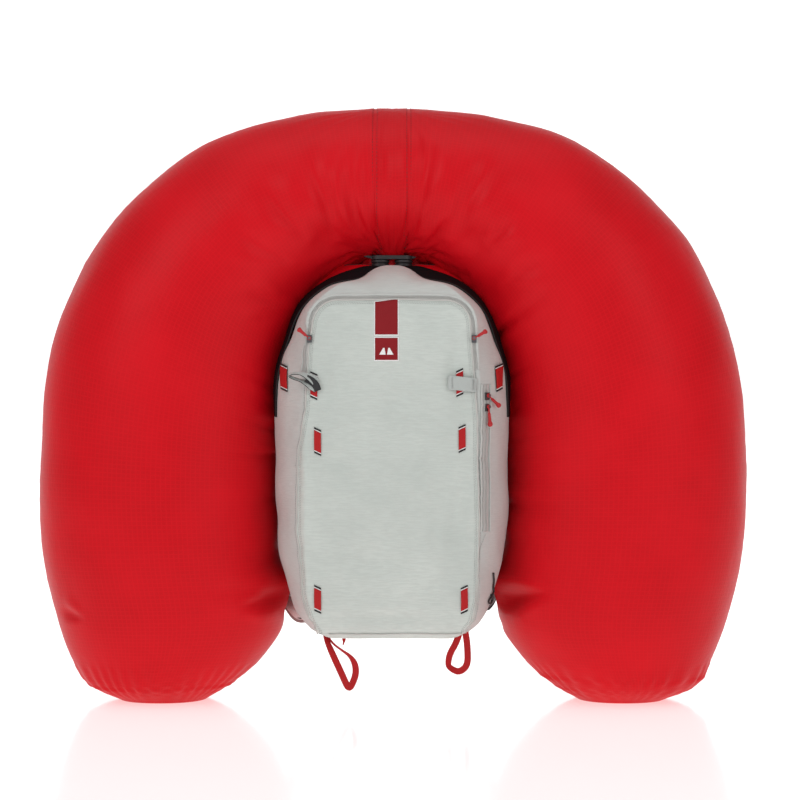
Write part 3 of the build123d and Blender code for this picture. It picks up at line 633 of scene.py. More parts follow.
# ================================================================ airbag
BAND_HALF = 22.7
BAND_TUCK = 2.4                # how far the centre strip reaches under the chambers' cloth
BAND_TOP, BAND_FOOT, BAND_DEPTH = 821, 617, 135
AIRBAG_STATIONS = [  # outer x, z, inner x, z, half depth
    (BAND_HALF, BAND_TOP, BAND_HALF, BAND_FOOT, BAND_DEPTH),
    (140, 808, 70, 585, 142),
    (272, 763, 112, 535, 149),
    (397, 652, 140, 470, 156),
    (470, 500, 150, 390, 161),
    (491, 330, 152, 310, 162),
    (484, 200, 150, 205, 160),
    (465, 115, 147, 118, 151),
    (446, 60, 178, 62, 130),
    (424, 22, 219, 25, 104),
    (378, 0, 258, 0, 68),
]
FLANGE = np.array([0.0, -48.0, 613.0])
TUBE_ROUNDNESS = 2.12
AROUND = 216
FRONT_CREASES = [  # x, z points on the front, width, depth
    ([(-108, 738), (-90, 690), (-73, 640)], 8, 5.5),
    ([(-170, 698), (-143, 666), (-117, 636)], 8, 4.5),
    ([(-60, 700), (-48, 660), (-38, 628)], 6, 3.5),
    ([(-205, 640), (-170, 618), (-140, 604)], 8, 3.5),
    ([(-196, 560), (-170, 552), (-150, 546)], 7, 3.5),
    ([(54, 790), (46, 735), (38, 685), (28, 631)], 8, 6.5),
    ([(136, 739), (115, 706), (99, 678), (85, 636)], 9, 5.5),
    ([(158, 655), (145, 641), (130, 628)], 6, 4.5),
    ([(58, 682), (51, 665), (45, 648)], 6, 3.5),
    ([(200, 600), (172, 586), (150, 572)], 7, 3.5),
    ([(-4, 800), (-5, 740), (-6, 660)], 5, 2.0),
    ([(-450, 128), (-434, 124), (-420, 121)], 5, 3.5),
    ([(152, 142), (175, 150), (205, 153)], 8, 6.0),
    ([(-150, 150), (-178, 140), (-200, 136)], 8, 5.0),
]
HOLLOWS = [(-84, 628, 26, 9), (105, 628, 30, 10), (-128, 560, 24, 5), (132, 566, 22, 5), (158, 146, 20, 9)]


def crease_depth(x, z, points, width, depth):
    """A pressed-in line with a soft swelling along both sides, fading at its ends."""
    points = np.asarray(points, float)
    best = np.full(x.shape, 1e9)
    share = np.zeros(x.shape)
    lengths = np.linalg.norm(np.diff(points, axis=0), axis=1)
    total = lengths.sum()
    start = 0.0
    for a, b, length in zip(points[:-1], points[1:], lengths):
        run = (b - a) / length
        t = np.clip((x - a[0]) * run[0] + (z - a[1]) * run[1], 0, length)
        away = np.hypot(x - a[0] - run[0] * t, z - a[1] - run[1] * t)
        closer = away < best
        best = np.where(closer, away, best)
        share = np.where(closer, (start + t) / total, share)
        start += length
    fade = np.clip(np.sin(np.pi * np.clip(share * 0.86 + 0.07, 0, 1)), 0, 1)
    grow = width * (0.7 + 0.9 * (1 - share))
    swell = 0.55 * np.exp(-((best - 2.3 * grow) / (1.3 * grow)) ** 2)
    return fade * depth * (-np.exp(-(best / grow) ** 2) + swell)


def cloud_noise(points, scale, seed):
    shift = Vector((seed * 3.1, seed * 1.7, seed * 5.3))
    values = [noise.noise(Vector(p) * scale + shift) for p in points.reshape(-1, 3).tolist()]
    return np.array(values).reshape(points.shape[:-1])


def grid_normals(points):
    """Normals of rows of points that each close on themselves."""
    over = (np.roll(points, -1, 1) - np.roll(points, 1, 1)) / 2
    return unit(np.cross(np.gradient(points, axis=0), over))


def airbag_rings(stations, side):
    """Rings of points round the tube; each runs from the outer edge over the front to the inner edge."""
    turn = full_turn(AROUND)
    c = squared(np.cos(turn), 2 / TUBE_ROUNDNESS)
    s = squared(np.sin(turn), 2 / TUBE_ROUNDNESS)
    outer, inner, depth = stations[:, 0:2], stations[:, 2:4], stations[:, 4]
    middle, reach = (outer + inner) / 2, (outer - inner) / 2
    x = middle[:, 0:1] + reach[:, 0:1] * c
    z = middle[:, 1:2] + reach[:, 1:2] * c
    y = -depth[:, None] * s
    return np.stack([side * x, y, np.maximum(z, 0)], -1), turn


def airbag_relief(points, turn, along, side):
    """How far the inflated cloth stands out of its smooth tube, in mm."""
    x, y, z = points[..., 0], points[..., 1], points[..., 2]
    relief = 3.4 * cloud_noise(points, 0.0055, 1.0) + 1.5 * cloud_noise(points, 0.014, 2.0)
    front = falling(y + 25, 9)
    rear = falling(25 - y, 9)
    for line, width, depth in FRONT_CREASES:
        relief += front * crease_depth(x, z, line, width, depth)
        shifted = [(-px * 0.94 + 6, pz + 5) for px, pz in line]
        relief += rear * crease_depth(x, z, shifted, width * 1.1, depth * 0.9)
    for hx, hz, size, depth in HOLLOWS:
        relief -= front * depth * np.exp(-(((x - hx) ** 2 + (z - hz) ** 2) / size ** 2))
        relief -= rear * depth * 0.8 * np.exp(-(((x + hx) ** 2 + (z - hz) ** 2) / size ** 2))
    inner = falling(np.abs(x) - 215, 8)
    relief += inner * 11.0 * np.exp(-((z - 166) / 22) ** 2 - ((y + 20) / 46) ** 2)
    relief -= inner * (5.0 if side < 0 else 2.0) * np.exp(-((z - 122) / 15) ** 2 - ((y - 5) / 70) ** 2)
    # short folds across the inside of the bend, where the cloth has length to spare
    draw = np.random.default_rng(11 if side > 0 else 12)
    for _ in range(34):
        place = draw.uniform(0.0, 0.84)
        width = draw.uniform(0.006, 0.014)
        reach = draw.uniform(0.40, 0.95)
        depth = draw.uniform(0.7, 2.4)
        slant = draw.uniform(-0.012, 0.012)
        middle = draw.uniform(-0.35, 0.35)
        signed = (turn - math.pi)[None, :]
        away = (along[:, None] - place - slant * signed) / width
        fade = np.exp(-((signed - middle) / reach) ** 4)
        relief += fade * depth * (-np.exp(-away ** 2) + 0.5 * bell(np.abs(away) - 2.2, 1.3))
    # the seam round the tube's outer edge, with small gathers beside it
    edge = np.minimum(turn, 2 * math.pi - turn)[None, :]
    gather = cloud_noise(np.stack([along[:, None] * 95 + 0 * x, 0 * x, 3 * side + 0 * x], -1), 1.0, 4.0)
    relief += -1.3 * bell(edge, 0.018) + 1.5 * gather * bell(edge, 0.13)
    # gathers where each lobe closes at its foot
    spin = np.arctan2(y, np.abs(x) - 320)
    pleat = np.sin(spin * 34 + 3 * np.sin(spin * 5 + side))
    relief += 2.1 * pleat * bell(z - 20, 26) * np.clip(0.65 + gather, 0.2, 1.4)
    return relief


def throat_pull(points):
    """Draws the cloth down into the clamp, in folds that fan out from it."""
    offset = points - FLANGE
    flat = np.hypot(offset[..., 0], offset[..., 1])
    far = np.linalg.norm(offset, axis=-1)
    spin = np.arctan2(offset[..., 1], offset[..., 0])
    folds = np.sin(spin * 31 + 2.2 * np.sin(spin * 3 + 1)) + 0.5 * np.sin(spin * 13 + 2)
    under = falling(points[..., 2] - 690, 14)
    moved = points.copy()
    moved[..., 2] -= 15 * bell(flat, 36) * under
    size = 5.2 * bell(far - 42, 58) * under ** 0.5 + 2.0 * bell(far - 80, 90)
    moved += unit(offset) * (folds * size)[..., None]
    pull = 9 * bell(far - 30, 48)
    moved -= unit(offset) * pull[..., None]
    return moved


def seam_groove(points):
    return -1.1 * bell(np.abs(points[..., 0]) - BAND_HALF, 2.6)


def airbag_surface(stations, side, along):
    rings, turn = airbag_rings(stations, side)
    normals = grid_normals(rings)
    centre = rings.mean(1, keepdims=True)
    if ((rings - centre) * normals).sum() < 0:
        normals = -normals
    relief = airbag_relief(rings, turn, along, side) + seam_groove(rings)
    base = np.clip(rings[..., 2] / 30, 0, 1)
    rings = rings + normals * (relief * np.clip(base, 0.12, 1))[..., None]
    rings = throat_pull(rings)
    rings[..., 2] = np.maximum(rings[..., 2], 0.0)
    return rings


def airbag_chamber(side, name):
    """One lobe from the centre strip to its foot, closed flat where it stands."""
    stations = smooth_curve(AIRBAG_STATIONS, 236)
    stations[:, [1, 3]] = np.maximum(stations[:, [1, 3]], 0)
    rings = airbag_surface(stations, side, np.linspace(0, 1, len(stations)))
    rings[-1, :, 2] = 0.0
    foot = rings[-1]
    middle = foot.mean(0)
    floor_rings = [middle + (foot - middle) * share for share in (0.93, 0.8, 0.6, 0.35, 0.1)]
    rings = np.concatenate([rings, np.array(floor_rings)])
    return grid(name, rings * MM, M["airbag"], wrap=True, flip=side > 0)


def band_rings(places):
    """Rings of the tube at the centre strip, one for each x, with their normals."""
    stations = np.array([(x, BAND_TOP, x, BAND_FOOT, BAND_DEPTH) for x in places], float)
    rings, turn = airbag_rings(stations, 1)
    middle, half = (BAND_TOP + BAND_FOOT) / 2, (BAND_TOP - BAND_FOOT) / 2
    normals = unit(np.stack([0 * rings[..., 0], rings[..., 1] / BAND_DEPTH ** 2,
                             (rings[..., 2] - middle) / half ** 2], -1))
    return rings, normals, turn


def airbag_band():
    under = BAND_HALF + BAND_TUCK
    rings, normals, turn = band_rings(np.linspace(-under, under, 17))
    blend_in = np.clip((rings[..., 0] + BAND_HALF) / (2 * BAND_HALF), 0, 1)
    left, right = [airbag_relief(rings, turn, np.zeros(len(rings)), side) for side in (-1, 1)]
    relief = left * (1 - blend_in) + right * blend_in + seam_groove(rings)
    relief -= np.clip((np.abs(rings[..., 0]) - BAND_HALF) / BAND_TUCK, 0, 1) * 1.2
    rings = throat_pull(rings + normals * relief[..., None])
    return grid("airbag_centre_strip", rings * MM, M["band"], wrap=True, flip=True)


def airbag_seams():
    """Two rows of thread beside each seam of the centre strip."""
    rows = []
    for side in (-1, 1):
        for gap in (-2.6, 3.2):
            ring, normal, turn = band_rings([side * (BAND_HALF + gap)])
            relief = airbag_relief(ring, turn, np.zeros(1), side) + seam_groove(ring)
            ring = throat_pull(ring + normal * relief[..., None])[0]
            line = np.concatenate([ring, ring[:1]])
            normals = np.concatenate([normal[0], normal[0, :1]])
            rows.append(stitches("row", line * MM, normals, M["red_thread"], 0.0052, 0.0036, 0.00036, 0.0001))
    return join("airbag_seam_thread", rows)


# ================================================================ pack body
PACK_STATIONS = [  # z, half width, front half, back half, front y, rear y
    (97, 96, 80, 84, -150, -16),
    (104, 108, 90, 96, -162, -12),
    (116, 121, 100, 108, -170, -12),
    (138, 134, 108, 120, -175, -12),
    (180, 146, 113, 131, -176, -12),
    (235, 157, 115, 139, -176, -12),
    (336, 157.5, 115, 139, -176, -12),
    (438, 157, 115, 139, -176, -12),
    (499, 138, 113, 118, -176, -12),
    (530, 124, 111, 100, -175, -12),
    (552, 106, 94, 80, -169, -12),
    (570, 82, 70, 57, -158, -14),
    (585, 54, 42, 36, -140, -20),
    (597, 32, 24, 22, -112, -32),
]
PACK_LOW, PACK_HIGH = 97.0, 597.0
PACK_FINE = smooth_curve(PACK_STATIONS, 900)
CROWN_PEAK = 0.5985            # in metres
FLAP_TOP, FLAP_HALF, FLAP_CORNER = 548.0, 105.0, 34.0
FRONT_FOOT = 105.5
LEFT_SEAM = [  # z, x
    (110, -98), (122, -108), (151, -117), (243, -126), (349, -124), (399, -115), (487, -110), (514, -105)]
RIGHT_SEAM = [
    (110, 98), (122, 107), (151, 114), (243, 116), (336, 114), (387, 113.5), (437, 110), (487, 106),
    (514, 105)]
DENTS = [  # x, z, half width, half height, depth
    (-73, 335, 20, 13, 3.2), (-40, 208, 34, 20, 2.6), (60, 176, 30, 26, 2.4), (35, 300, 40, 24, -2.4),
    (-86, 448, 12, 34, 3.0), (86, 470, 12, 30, 2.6), (20, 408, 46, 22, 2.0), (-60, 520, 26, 16, 2.4),
    (66, 524, 22, 14, 2.6), (84, 250, 12, 40, 3.0), (-92, 262, 11, 36, 3.2), (0, 128, 60, 9, 3.0)]
PULLS = [  # soft folds drawn between two (x, z) places: width and depth in mm
    ((-100, 520), (-60, 430), 7, 1.6), ((96, 520), (66, 450), 7, 1.5), ((-104, 330), (-78, 240), 8, 1.7),
    ((98, 330), (76, 250), 8, 1.6), ((-96, 120), (-60, 170), 8, 1.6), ((96, 122), (62, 168), 8, 1.6),
    ((-50, 300), (20, 270), 10, 1.0), ((-20, 400), (50, 430), 10, 1.0), ((-70, 150), (40, 140), 9, 1.1),
]


def crown_fall(x, z):
    """How far the crown falls away on both sides of its hump, in mm."""
    share = np.clip((z - 566) / 31, 0, 1)
    return 12.5 * (1 - np.exp(-np.abs(x / 30) ** 3)) * share ** 2 * (3 - 2 * share)


def pack_profile(z):
    return [np.interp(z, PACK_FINE[:, 0], PACK_FINE[:, k]) for k in range(1, 6)]


def side_circle(z):
    """Centre and radius of the round side at a level, for the +X side."""
    wide, front, back, front_y, rear_y = pack_profile(z)
    middle_y = rear_y + 0.445 * (front_y - rear_y)
    ax, ay, bx, by, cx, cy = front, front_y, wide, middle_y, back, rear_y
    d = 2 * (ax * (by - cy) + bx * (cy - ay) + cx * (ay - by))
    ux = ((ax**2 + ay**2) * (by - cy) + (bx**2 + by**2) * (cy - ay) + (cx**2 + cy**2) * (ay - by)) / d
    uy = ((ax**2 + ay**2) * (cx - bx) + (bx**2 + by**2) * (ax - cx) + (cx**2 + cy**2) * (bx - ax)) / d
    return ux, uy, np.hypot(ax - ux, ay - uy)


def front_crown(x, z):
    front = pack_profile(z)[1]
    share = np.clip(1 - (x / front) ** 2, 0, 1)
    return 5.5 * share ** 0.8 * np.clip((z - PACK_LOW) / 60, 0, 1) * np.clip((585 - z) / 60, 0, 1)


def pack_y(x, z):
    """The front skin's y at x and z, before dents."""
    x, z = np.broadcast_arrays(np.asarray(x, float), np.asarray(z, float))
    _, front, _, front_y, _ = pack_profile(z)
    ux, uy, radius = side_circle(z)
    round_y = uy - np.sqrt(np.maximum(radius**2 - (np.abs(x) - ux) ** 2, 0))
    return np.where(np.abs(x) <= front, front_y - front_crown(x, z), round_y)


def pack_x(y, z):
    """The side skin's x at y and z, for the +X side."""
    ux, uy, radius = side_circle(z)
    return ux + np.sqrt(np.maximum(radius**2 - (y - uy) ** 2, 0))


def seam_x(z, side):
    table = np.array(RIGHT_SEAM if side > 0 else LEFT_SEAM, float)
    return np.interp(z, table[:, 0], table[:, 1])


def front_outline(inset=0.0, count=420):
    """The seam round the front cloth: up the left, over the top, down the right."""
    rise = np.linspace(FRONT_FOOT, FLAP_TOP - FLAP_CORNER, 120)
    left = np.stack([seam_x(rise, -1) + inset, rise], 1)
    right = np.stack([seam_x(rise, 1) - inset, rise], 1)[::-1]
    turn = np.linspace(math.pi, math.pi / 2, 24)[1:-1]
    radius = FLAP_CORNER - inset
    bend = np.stack([-(FLAP_HALF - FLAP_CORNER) + radius * np.cos(turn),
                     FLAP_TOP - FLAP_CORNER + radius * np.sin(turn)], 1)
    other = np.stack([-bend[::-1, 0], bend[::-1, 1]], 1)
    line = np.concatenate([left, bend, other, right])
    return evenly(line, count)


OUTLINE = front_outline()


def seam_distance(x, z):
    """How far each point is from the front cloth's seam, seen from the front."""
    tree = kdtree.KDTree(len(OUTLINE))
    for index, (px, pz) in enumerate(OUTLINE):
        tree.insert((px, 0, pz), index)
    tree.balance()
    flat = [tree.find((a, 0, b))[2] for a, b in zip(np.ravel(x).tolist(), np.ravel(z).tolist())]
    return np.array(flat).reshape(np.shape(x))


def cloth_relief(points):
    """Soft unevenness, dents and the puckers along the seams, outward in mm."""
    x, y, z = points[..., 0], points[..., 1], points[..., 2]
    relief = 2.3 * cloud_noise(points, 0.011, 6.0) + 1.0 * cloud_noise(points, 0.034, 7.0)
    front = falling(y + 140, 5)
    for dx, dz, rx, rz, depth in DENTS:
        relief -= front * 1.4 * depth * np.exp(-((x - dx) / rx) ** 2 - ((z - dz) / rz) ** 2)
    for (px, pz), (qx, qz), width, depth in PULLS:
        run = np.array([qx - px, qz - pz]) / math.hypot(qx - px, qz - pz)
        t = (x - px) * run[0] + (z - pz) * run[1]
        off = (x - px) * run[1] - (z - pz) * run[0]
        length = math.hypot(qx - px, qz - pz)
        fade = np.exp(-np.clip(t - length, 0, None) ** 2 / 400 - np.clip(-t, 0, None) ** 2 / 400)
        relief += front * depth * fade * np.sin(off / width) * np.exp(-(off / (2.6 * width)) ** 2)
    away = seam_distance(x, z) + np.clip(y + 168, 0, None)
    ripple = cloud_noise(points * [0.25, 0.25, 1.0], 0.11, 8.0)
    relief += 1.7 * ripple * bell(away, 15) - 1.2 * bell(away, 3.2)
    foot = bell(z - 112, 10)
    relief += 1.4 * foot * cloud_noise(points * [1, 1, 0.2], 0.085, 9.0)
    # slack folds low on the gussets and under the shoulders
    slack = bell(z - 245, 60) + 0.8 * bell(z - 480, 40)
    slope = points @ np.array([0.35, 0.30, 1.0])
    relief += 2.0 * slack * (1 - front) * np.sin(slope / 15 + 2.2 * cloud_noise(points, 0.012, 10.0))
    return relief


def surface_normal(x, z):
    step = 0.6
    slope_x = (pack_y(x + step, z) - pack_y(x - step, z)) / (2 * step)
    slope_z = (pack_y(x, np.minimum(z + step, 596.8)) - pack_y(x, z - step)) / (2 * step)
    return unit(np.stack([slope_x, -np.ones_like(slope_x), slope_z], -1))


def on_front(x, z, lift=0.0):
    """Points on the pack's front cloth, in mm, with their outward normals."""
    x, z = np.broadcast_arrays(np.asarray(x, float), np.asarray(z, float))
    points = np.stack([x, pack_y(x, z), z], -1)
    normal = surface_normal(x, z)
    return points + normal * (cloth_relief(points) + lift)[..., None], normal


def body_outline(z):
    """Closed rows of points round the pack, starting at the front's left corner."""
    _, front, back, front_y, rear_y = [value[:, None] for value in pack_profile(z)]
    ux, uy, radius = [value[:, None] for value in side_circle(z)]
    z = z[:, None]
    front_x = np.linspace(-1, 1, 60)[None, :] * front
    front_row = np.stack([front_x, pack_y(front_x, z + 0 * front_x), z + 0 * front_x], -1)
    start = np.arctan2(front_y - uy, front - ux)
    end = np.arctan2(rear_y - uy, back - ux)
    turn = start + (end - start) * np.linspace(0, 1, 46)[None, 1:-1]
    side_row = np.stack([ux + radius * np.cos(turn), uy + radius * np.sin(turn), z + 0 * turn], -1)
    rear_x = -np.linspace(-1, 1, 40)[None, :] * back
    rear_row = np.stack([rear_x, rear_y + 0 * rear_x, z + 0 * rear_x], -1)
    left_row = side_row[:, ::-1] * [-1, 1, 1]
    return np.concatenate([front_row, side_row, rear_row, left_row], 1)


def ring_normals(points):
    """Level outward normals of closed rows of points round the pack."""
    tangent = unit(np.roll(points, -1, 1) - np.roll(points, 1, 1))
    return np.stack([tangent[..., 1], -tangent[..., 0], 0 * tangent[..., 0]], -1)


def flap_edge(x, inset=0.0):
    """How high the front cloth reaches at x, with its round upper corners."""
    over = np.abs(x) - FLAP_HALF + FLAP_CORNER
    bend = FLAP_TOP - FLAP_CORNER + np.sqrt(np.maximum((FLAP_CORNER - inset) ** 2 - over ** 2, 0))
    return np.where(np.abs(x) > FLAP_HALF - FLAP_CORNER, bend, FLAP_TOP - inset)


def lined(obj, thickness, rim):
    """Thickens a cloth inward and lines it; with rim 1 its cut edge shows the lining too."""
    obj.data.materials.append(M["lining"])
    return modify(obj, "SOLIDIFY", thickness=thickness, offset=-1, material_offset=1, material_offset_rim=rim)


HOLE_INSET = 1.6               # how far the front cloth overlaps the body's cloth


def pack_body():
    """Gussets, crown and rear wall in one cloth, open where the front cloth goes."""
    levels = np.concatenate([np.linspace(FRONT_FOOT, 548, 112), np.linspace(548, PACK_HIGH, 24)[1:]])
    points = body_outline(levels)
    points = points + ring_normals(points) * cloth_relief(points)[..., None]
    rear = points[..., 1] > -14.5
    points[..., 1] = np.where(rear, np.minimum(points[..., 1], -12.2), points[..., 1])
    hole = front_outline(HOLE_INSET)
    centre = (points[:-1] + points[1:]) / 2
    centre = (centre + np.roll(centre, -1, 1)) / 2
    x, z = centre[..., 0], centre[..., 2]
    inside = ((x > seam_x(z, -1) + HOLE_INSET) & (x < seam_x(z, 1) - HOLE_INSET)
              & (z < flap_edge(x, HOLE_INSET)) & (centre[..., 1] < -100))
    keep = ~inside
    rows, columns = points.shape[:2]
    used = np.zeros((rows, columns), bool)
    cut = np.zeros((rows, columns), bool)
    for flag, mask in ((used, keep), (cut, inside)):
        for di in (0, 1):
            for dj in (0, 1):
                flag[di:rows - 1 + di] |= np.roll(mask, dj, 1)
    edge = used & cut
    for i, j in zip(*np.nonzero(edge)):
        if levels[i] <= FRONT_FOOT + 0.01:
            continue
        near = np.argmin(np.hypot(hole[:, 0] - points[i, j, 0], hole[:, 1] - points[i, j, 2]))
        points[i, j] = on_front(hole[near, 0], hole[near, 1])[0]
    faces, uv = grid_faces(points * MM, wrap=True, keep=keep)
    points[..., 2] -= crown_fall(points[..., 0], points[..., 2])
    verts = (points * MM).reshape(-1, 3)
    peak = [verts[-columns:, 0].mean(), verts[-columns:, 1].mean(), CROWN_PEAK]
    first = (rows - 1) * columns
    fan = [(first + j, first + (j + 1) % columns, len(verts)) for j in range(columns)]
    uvs = np.concatenate([uv.reshape(-1, 2), np.tile([[0, 0], [0, 0.002], [0.02, 0]], (columns, 1))])
    body = new_object("pack_body_cloth", np.append(verts, [peak], 0), faces.tolist() + fan, M["side"], uvs)
    lined(drop_loose(body), 0.0012, 1)
    hide_behind(body, "root", "side_fabric", "side_gusset_left", "side_gusset_right", "crown_panel",
                "back_wall")


def pack_front():
    """The front cloth and the top flap in one sheet."""
    share = np.sin(np.linspace(-1, 1, 71) * math.pi / 2 * 0.82) / math.sin(math.pi / 2 * 0.82)
    rise = np.linspace(0, 1, 118)
    x_top = share * FLAP_HALF
    z = FRONT_FOOT + (flap_edge(x_top)[None, :] - FRONT_FOOT) * rise[:, None]
    left, right = seam_x(z, -1), seam_x(z, 1)
    x = (left + right) / 2 + (right - left) / 2 * share[None, :]
    front = lined(grid("pack_front_cloth", on_front(x, z, 1.4)[0] * MM, M["front"]), 0.0012, 0)
    fold_with_flap(front)
    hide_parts("front_panel", "top_flap")


def pack_bottom():
    """The foot of the pack: a rounded tray that meets the other cloths at a seam."""
    levels = np.linspace(FRONT_FOOT + 1.5, PACK_LOW, 8)
    rows = body_outline(levels)
    rows = rows + ring_normals(rows) * (cloth_relief(rows) * np.linspace(1, 0.4, 8)[:, None] + 0.5)[..., None]
    foot = rows[-1]
    middle = foot.mean(0)
    inner = []
    for share in (0.95, 0.86, 0.7, 0.5, 0.3, 0.1):
        ring = middle + (foot - middle) * share
        ring[:, 2] = PACK_LOW - 1.6 * (1 - share) ** 0.5 - 0.4
        inner.append(ring)
    rows = np.concatenate([rows, np.array(inner)])
    rows[..., 2] += 0.6 * cloud_noise(rows, 0.03, 12.0)
    tray = grid("pack_bottom_cloth", rows * MM, M["front"], wrap=True, flip=True)
    hide_behind(lined(tray, 0.0014, 0), "root", "front_fabric", "bottom_panel")


# ================================================================ seams, zips and trim on the pack
def outline_path(inset, lift, start=0.0, end=1.0, count=420):
    """Points and normals along the front cloth's seam; a share of the way from the left foot to the right."""
    line = front_outline(inset, 840)
    want = np.linspace(start, end, count) * (len(line) - 1)
    x = np.interp(want, np.arange(len(line)), line[:, 0])
    z = np.interp(want, np.arange(len(line)), line[:, 1])
    points, normals = on_front(x, z, lift)
    return points * MM, normals


def zip_teeth(name, path, normals, material, pitch=0.0015, half_gap=0.00075):
    """A coil zip: two rows of short round turns, side by side."""
    side = crosswise(path, normals)
    return join(name, [stitches("row", path + side * sign * half_gap, normals, material, pitch,
                                0.0012, 0.00056, 0) for sign in (-1, 1)])


def tape(name, path, normals, width, material, lift=0.0, rows=7):
    """A thin tape lying on a surface along a path."""
    side = crosswise(path, normals)
    shares = np.linspace(-0.5, 0.5, rows)
    sheet = path[:, None] + side[:, None] * shares[None, :, None] * width + normals[:, None] * lift
    return modify(grid(name, sheet, material), "SOLIDIFY", thickness=0.0006, offset=0)


def zip_lip(name, path, normals):
    """The raised edge of the cloth beside a zip."""
    lip = strap(name, path, 0.0034, 0.0015, M["side"], crosswise(path, normals))
    hide_behind(lip, "root", "side_fabric")


SEAM_STITCH = (0.0032, 0.0023, 0.0003, 0.0001)  # pitch, length, radius, lift


def pack_seams():
    fold_with_flap(tube("front_piping", outline_path(0.2, 1.6)[0], 0.00115, M["piping"], 10))
    rows = [stitches("row", *outline_path(inset, 1.45), M["thread"], *SEAM_STITCH) for inset in (3.4, 5.4)]
    fold_with_flap(join("front_stitching", rows))
    rows = [stitches("row", *outline_path(-2.4, 0.1, start, end, 200), M["thread"], *SEAM_STITCH)
            for start, end in ((0.0, 0.335), (0.665, 1.0))]
    hide_behind(join("gusset_stitching", rows), "root", "side_fabric")


def arch_zip():
    path, normals = outline_path(-3.3, 0.7, 0.325, 0.675, 300)
    hide_behind(zip_teeth("arch_zip_coil", path, normals, M["coil"]), "root", "zip_chain", "zip_chains")
    hide_behind(tape("arch_zip_tape", path, normals, 0.0062, M["tape"], -0.0005), "root", "zip_chain")
    zip_lip("arch_zip_lip", *outline_path(-6.9, 0.35, 0.322, 0.678, 300))


SIDE_ZIP_X = 124.5
SIDE_ZIP_LOW, SIDE_ZIP_HIGH = 240.0, 436.0


def side_zip():
    z = np.linspace(SIDE_ZIP_LOW, SIDE_ZIP_HIGH, 150)
    points, normals = on_front(SIDE_ZIP_X + 0 * z, z, 0.9)
    path = points * MM
    hide_behind(zip_teeth("side_zip_coil", path, normals, M["coil"]), "root", "zip_chain")
    hide_behind(tape("side_zip_tape", path, normals, 0.011, M["tape"], -0.0005), "root", "zip_chain")
    for name, shift in (("front", -7.2), ("rear", 7.2)):
        points, normals = on_front(SIDE_ZIP_X + shift * 0.86 + 0 * z, z, 0.9)
        zip_lip(f"side_zip_lip_{name}", points * MM, normals)
    # the pocket's stitched end, which curves away below the zip
    turn = np.linspace(0, 1, 40)
    x = SIDE_ZIP_X - 7 * np.sin(turn * 2.2)
    z = SIDE_ZIP_LOW - 3 - 36 * turn
    points, normals = on_front(x, z, 0.3)
    hide_behind(stitches("side_pocket_stitching", points * MM, normals, M["thread"]), "root", "side_fabric")


def flat_patch(name, corners, lift, material, steps=(16, 16), nodes=()):
    """A thin patch on the front cloth between four (x, z) corners, anticlockwise from the lower left."""
    a, b, c, d = [np.array(corner, float) for corner in corners]
    u = np.linspace(0, 1, steps[0])[None, :, None]
    v = np.linspace(0, 1, steps[1])[:, None, None]
    flat = a * (1 - u) * (1 - v) + b * u * (1 - v) + c * u * v + d * (1 - u) * v
    piece = grid(name, on_front(flat[..., 0], flat[..., 1], lift)[0] * MM, material)
    modify(piece, "SOLIDIFY", thickness=0.0003, offset=1)
    if nodes:
        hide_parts(*nodes)
    return fold_with_flap(piece)


STRIPE_LEFT, STRIPE_RIGHT = -22.0, 8.0


def stripes():
    """Two printed red fields with white edges, and a plain mark in the lower one."""
    line = 1.5
    for name, z_low, z_high, slope in (("upper", 501.6, 547.6, 3.4), ("lower", 468, 497.2, 0)):
        outer = [(STRIPE_LEFT - line, z_low - line), (STRIPE_RIGHT + line, z_low - line),
                 (STRIPE_RIGHT + line, z_high + line), (STRIPE_LEFT - line, z_high + line - slope)]
        inner = [(STRIPE_LEFT, z_low), (STRIPE_RIGHT, z_low), (STRIPE_RIGHT, z_high),
                 (STRIPE_LEFT, z_high - slope)]
        flat_patch(f"stripe_{name}_edge", outer, 1.45, M["white_print"])
        flat_patch(f"stripe_{name}_field", inner, 1.78, M["stripe"], nodes=(f"stripe_{name}",))
    middle = (STRIPE_LEFT + STRIPE_RIGHT) / 2
    foot, top = 475.0, 484.0
    for index, (x_low, x_high, lean) in enumerate(((-9.5, -0.8, 1), (0.8, 9.5, -1))):
        peak = x_low + (x_high - x_low) * (0.5 + 0.2 * lean)
        corners = [(middle + x_low, foot), (middle + x_high, foot), (middle + peak + 0.9, top),
                   (middle + peak - 0.9, top)]
        flat_patch(f"stripe_mark_{index + 1}", corners, 2.1, M["white_print"], (8, 8))


TAB_PLACES = [(-98, 360, 1), (93, 364, -1), (-98, 151, 1), (96, 151, -1), (-103, 434, 1), (90, 438, -1)]
TAB_WIDTH, TAB_HEIGHT = 9.0, 26.0


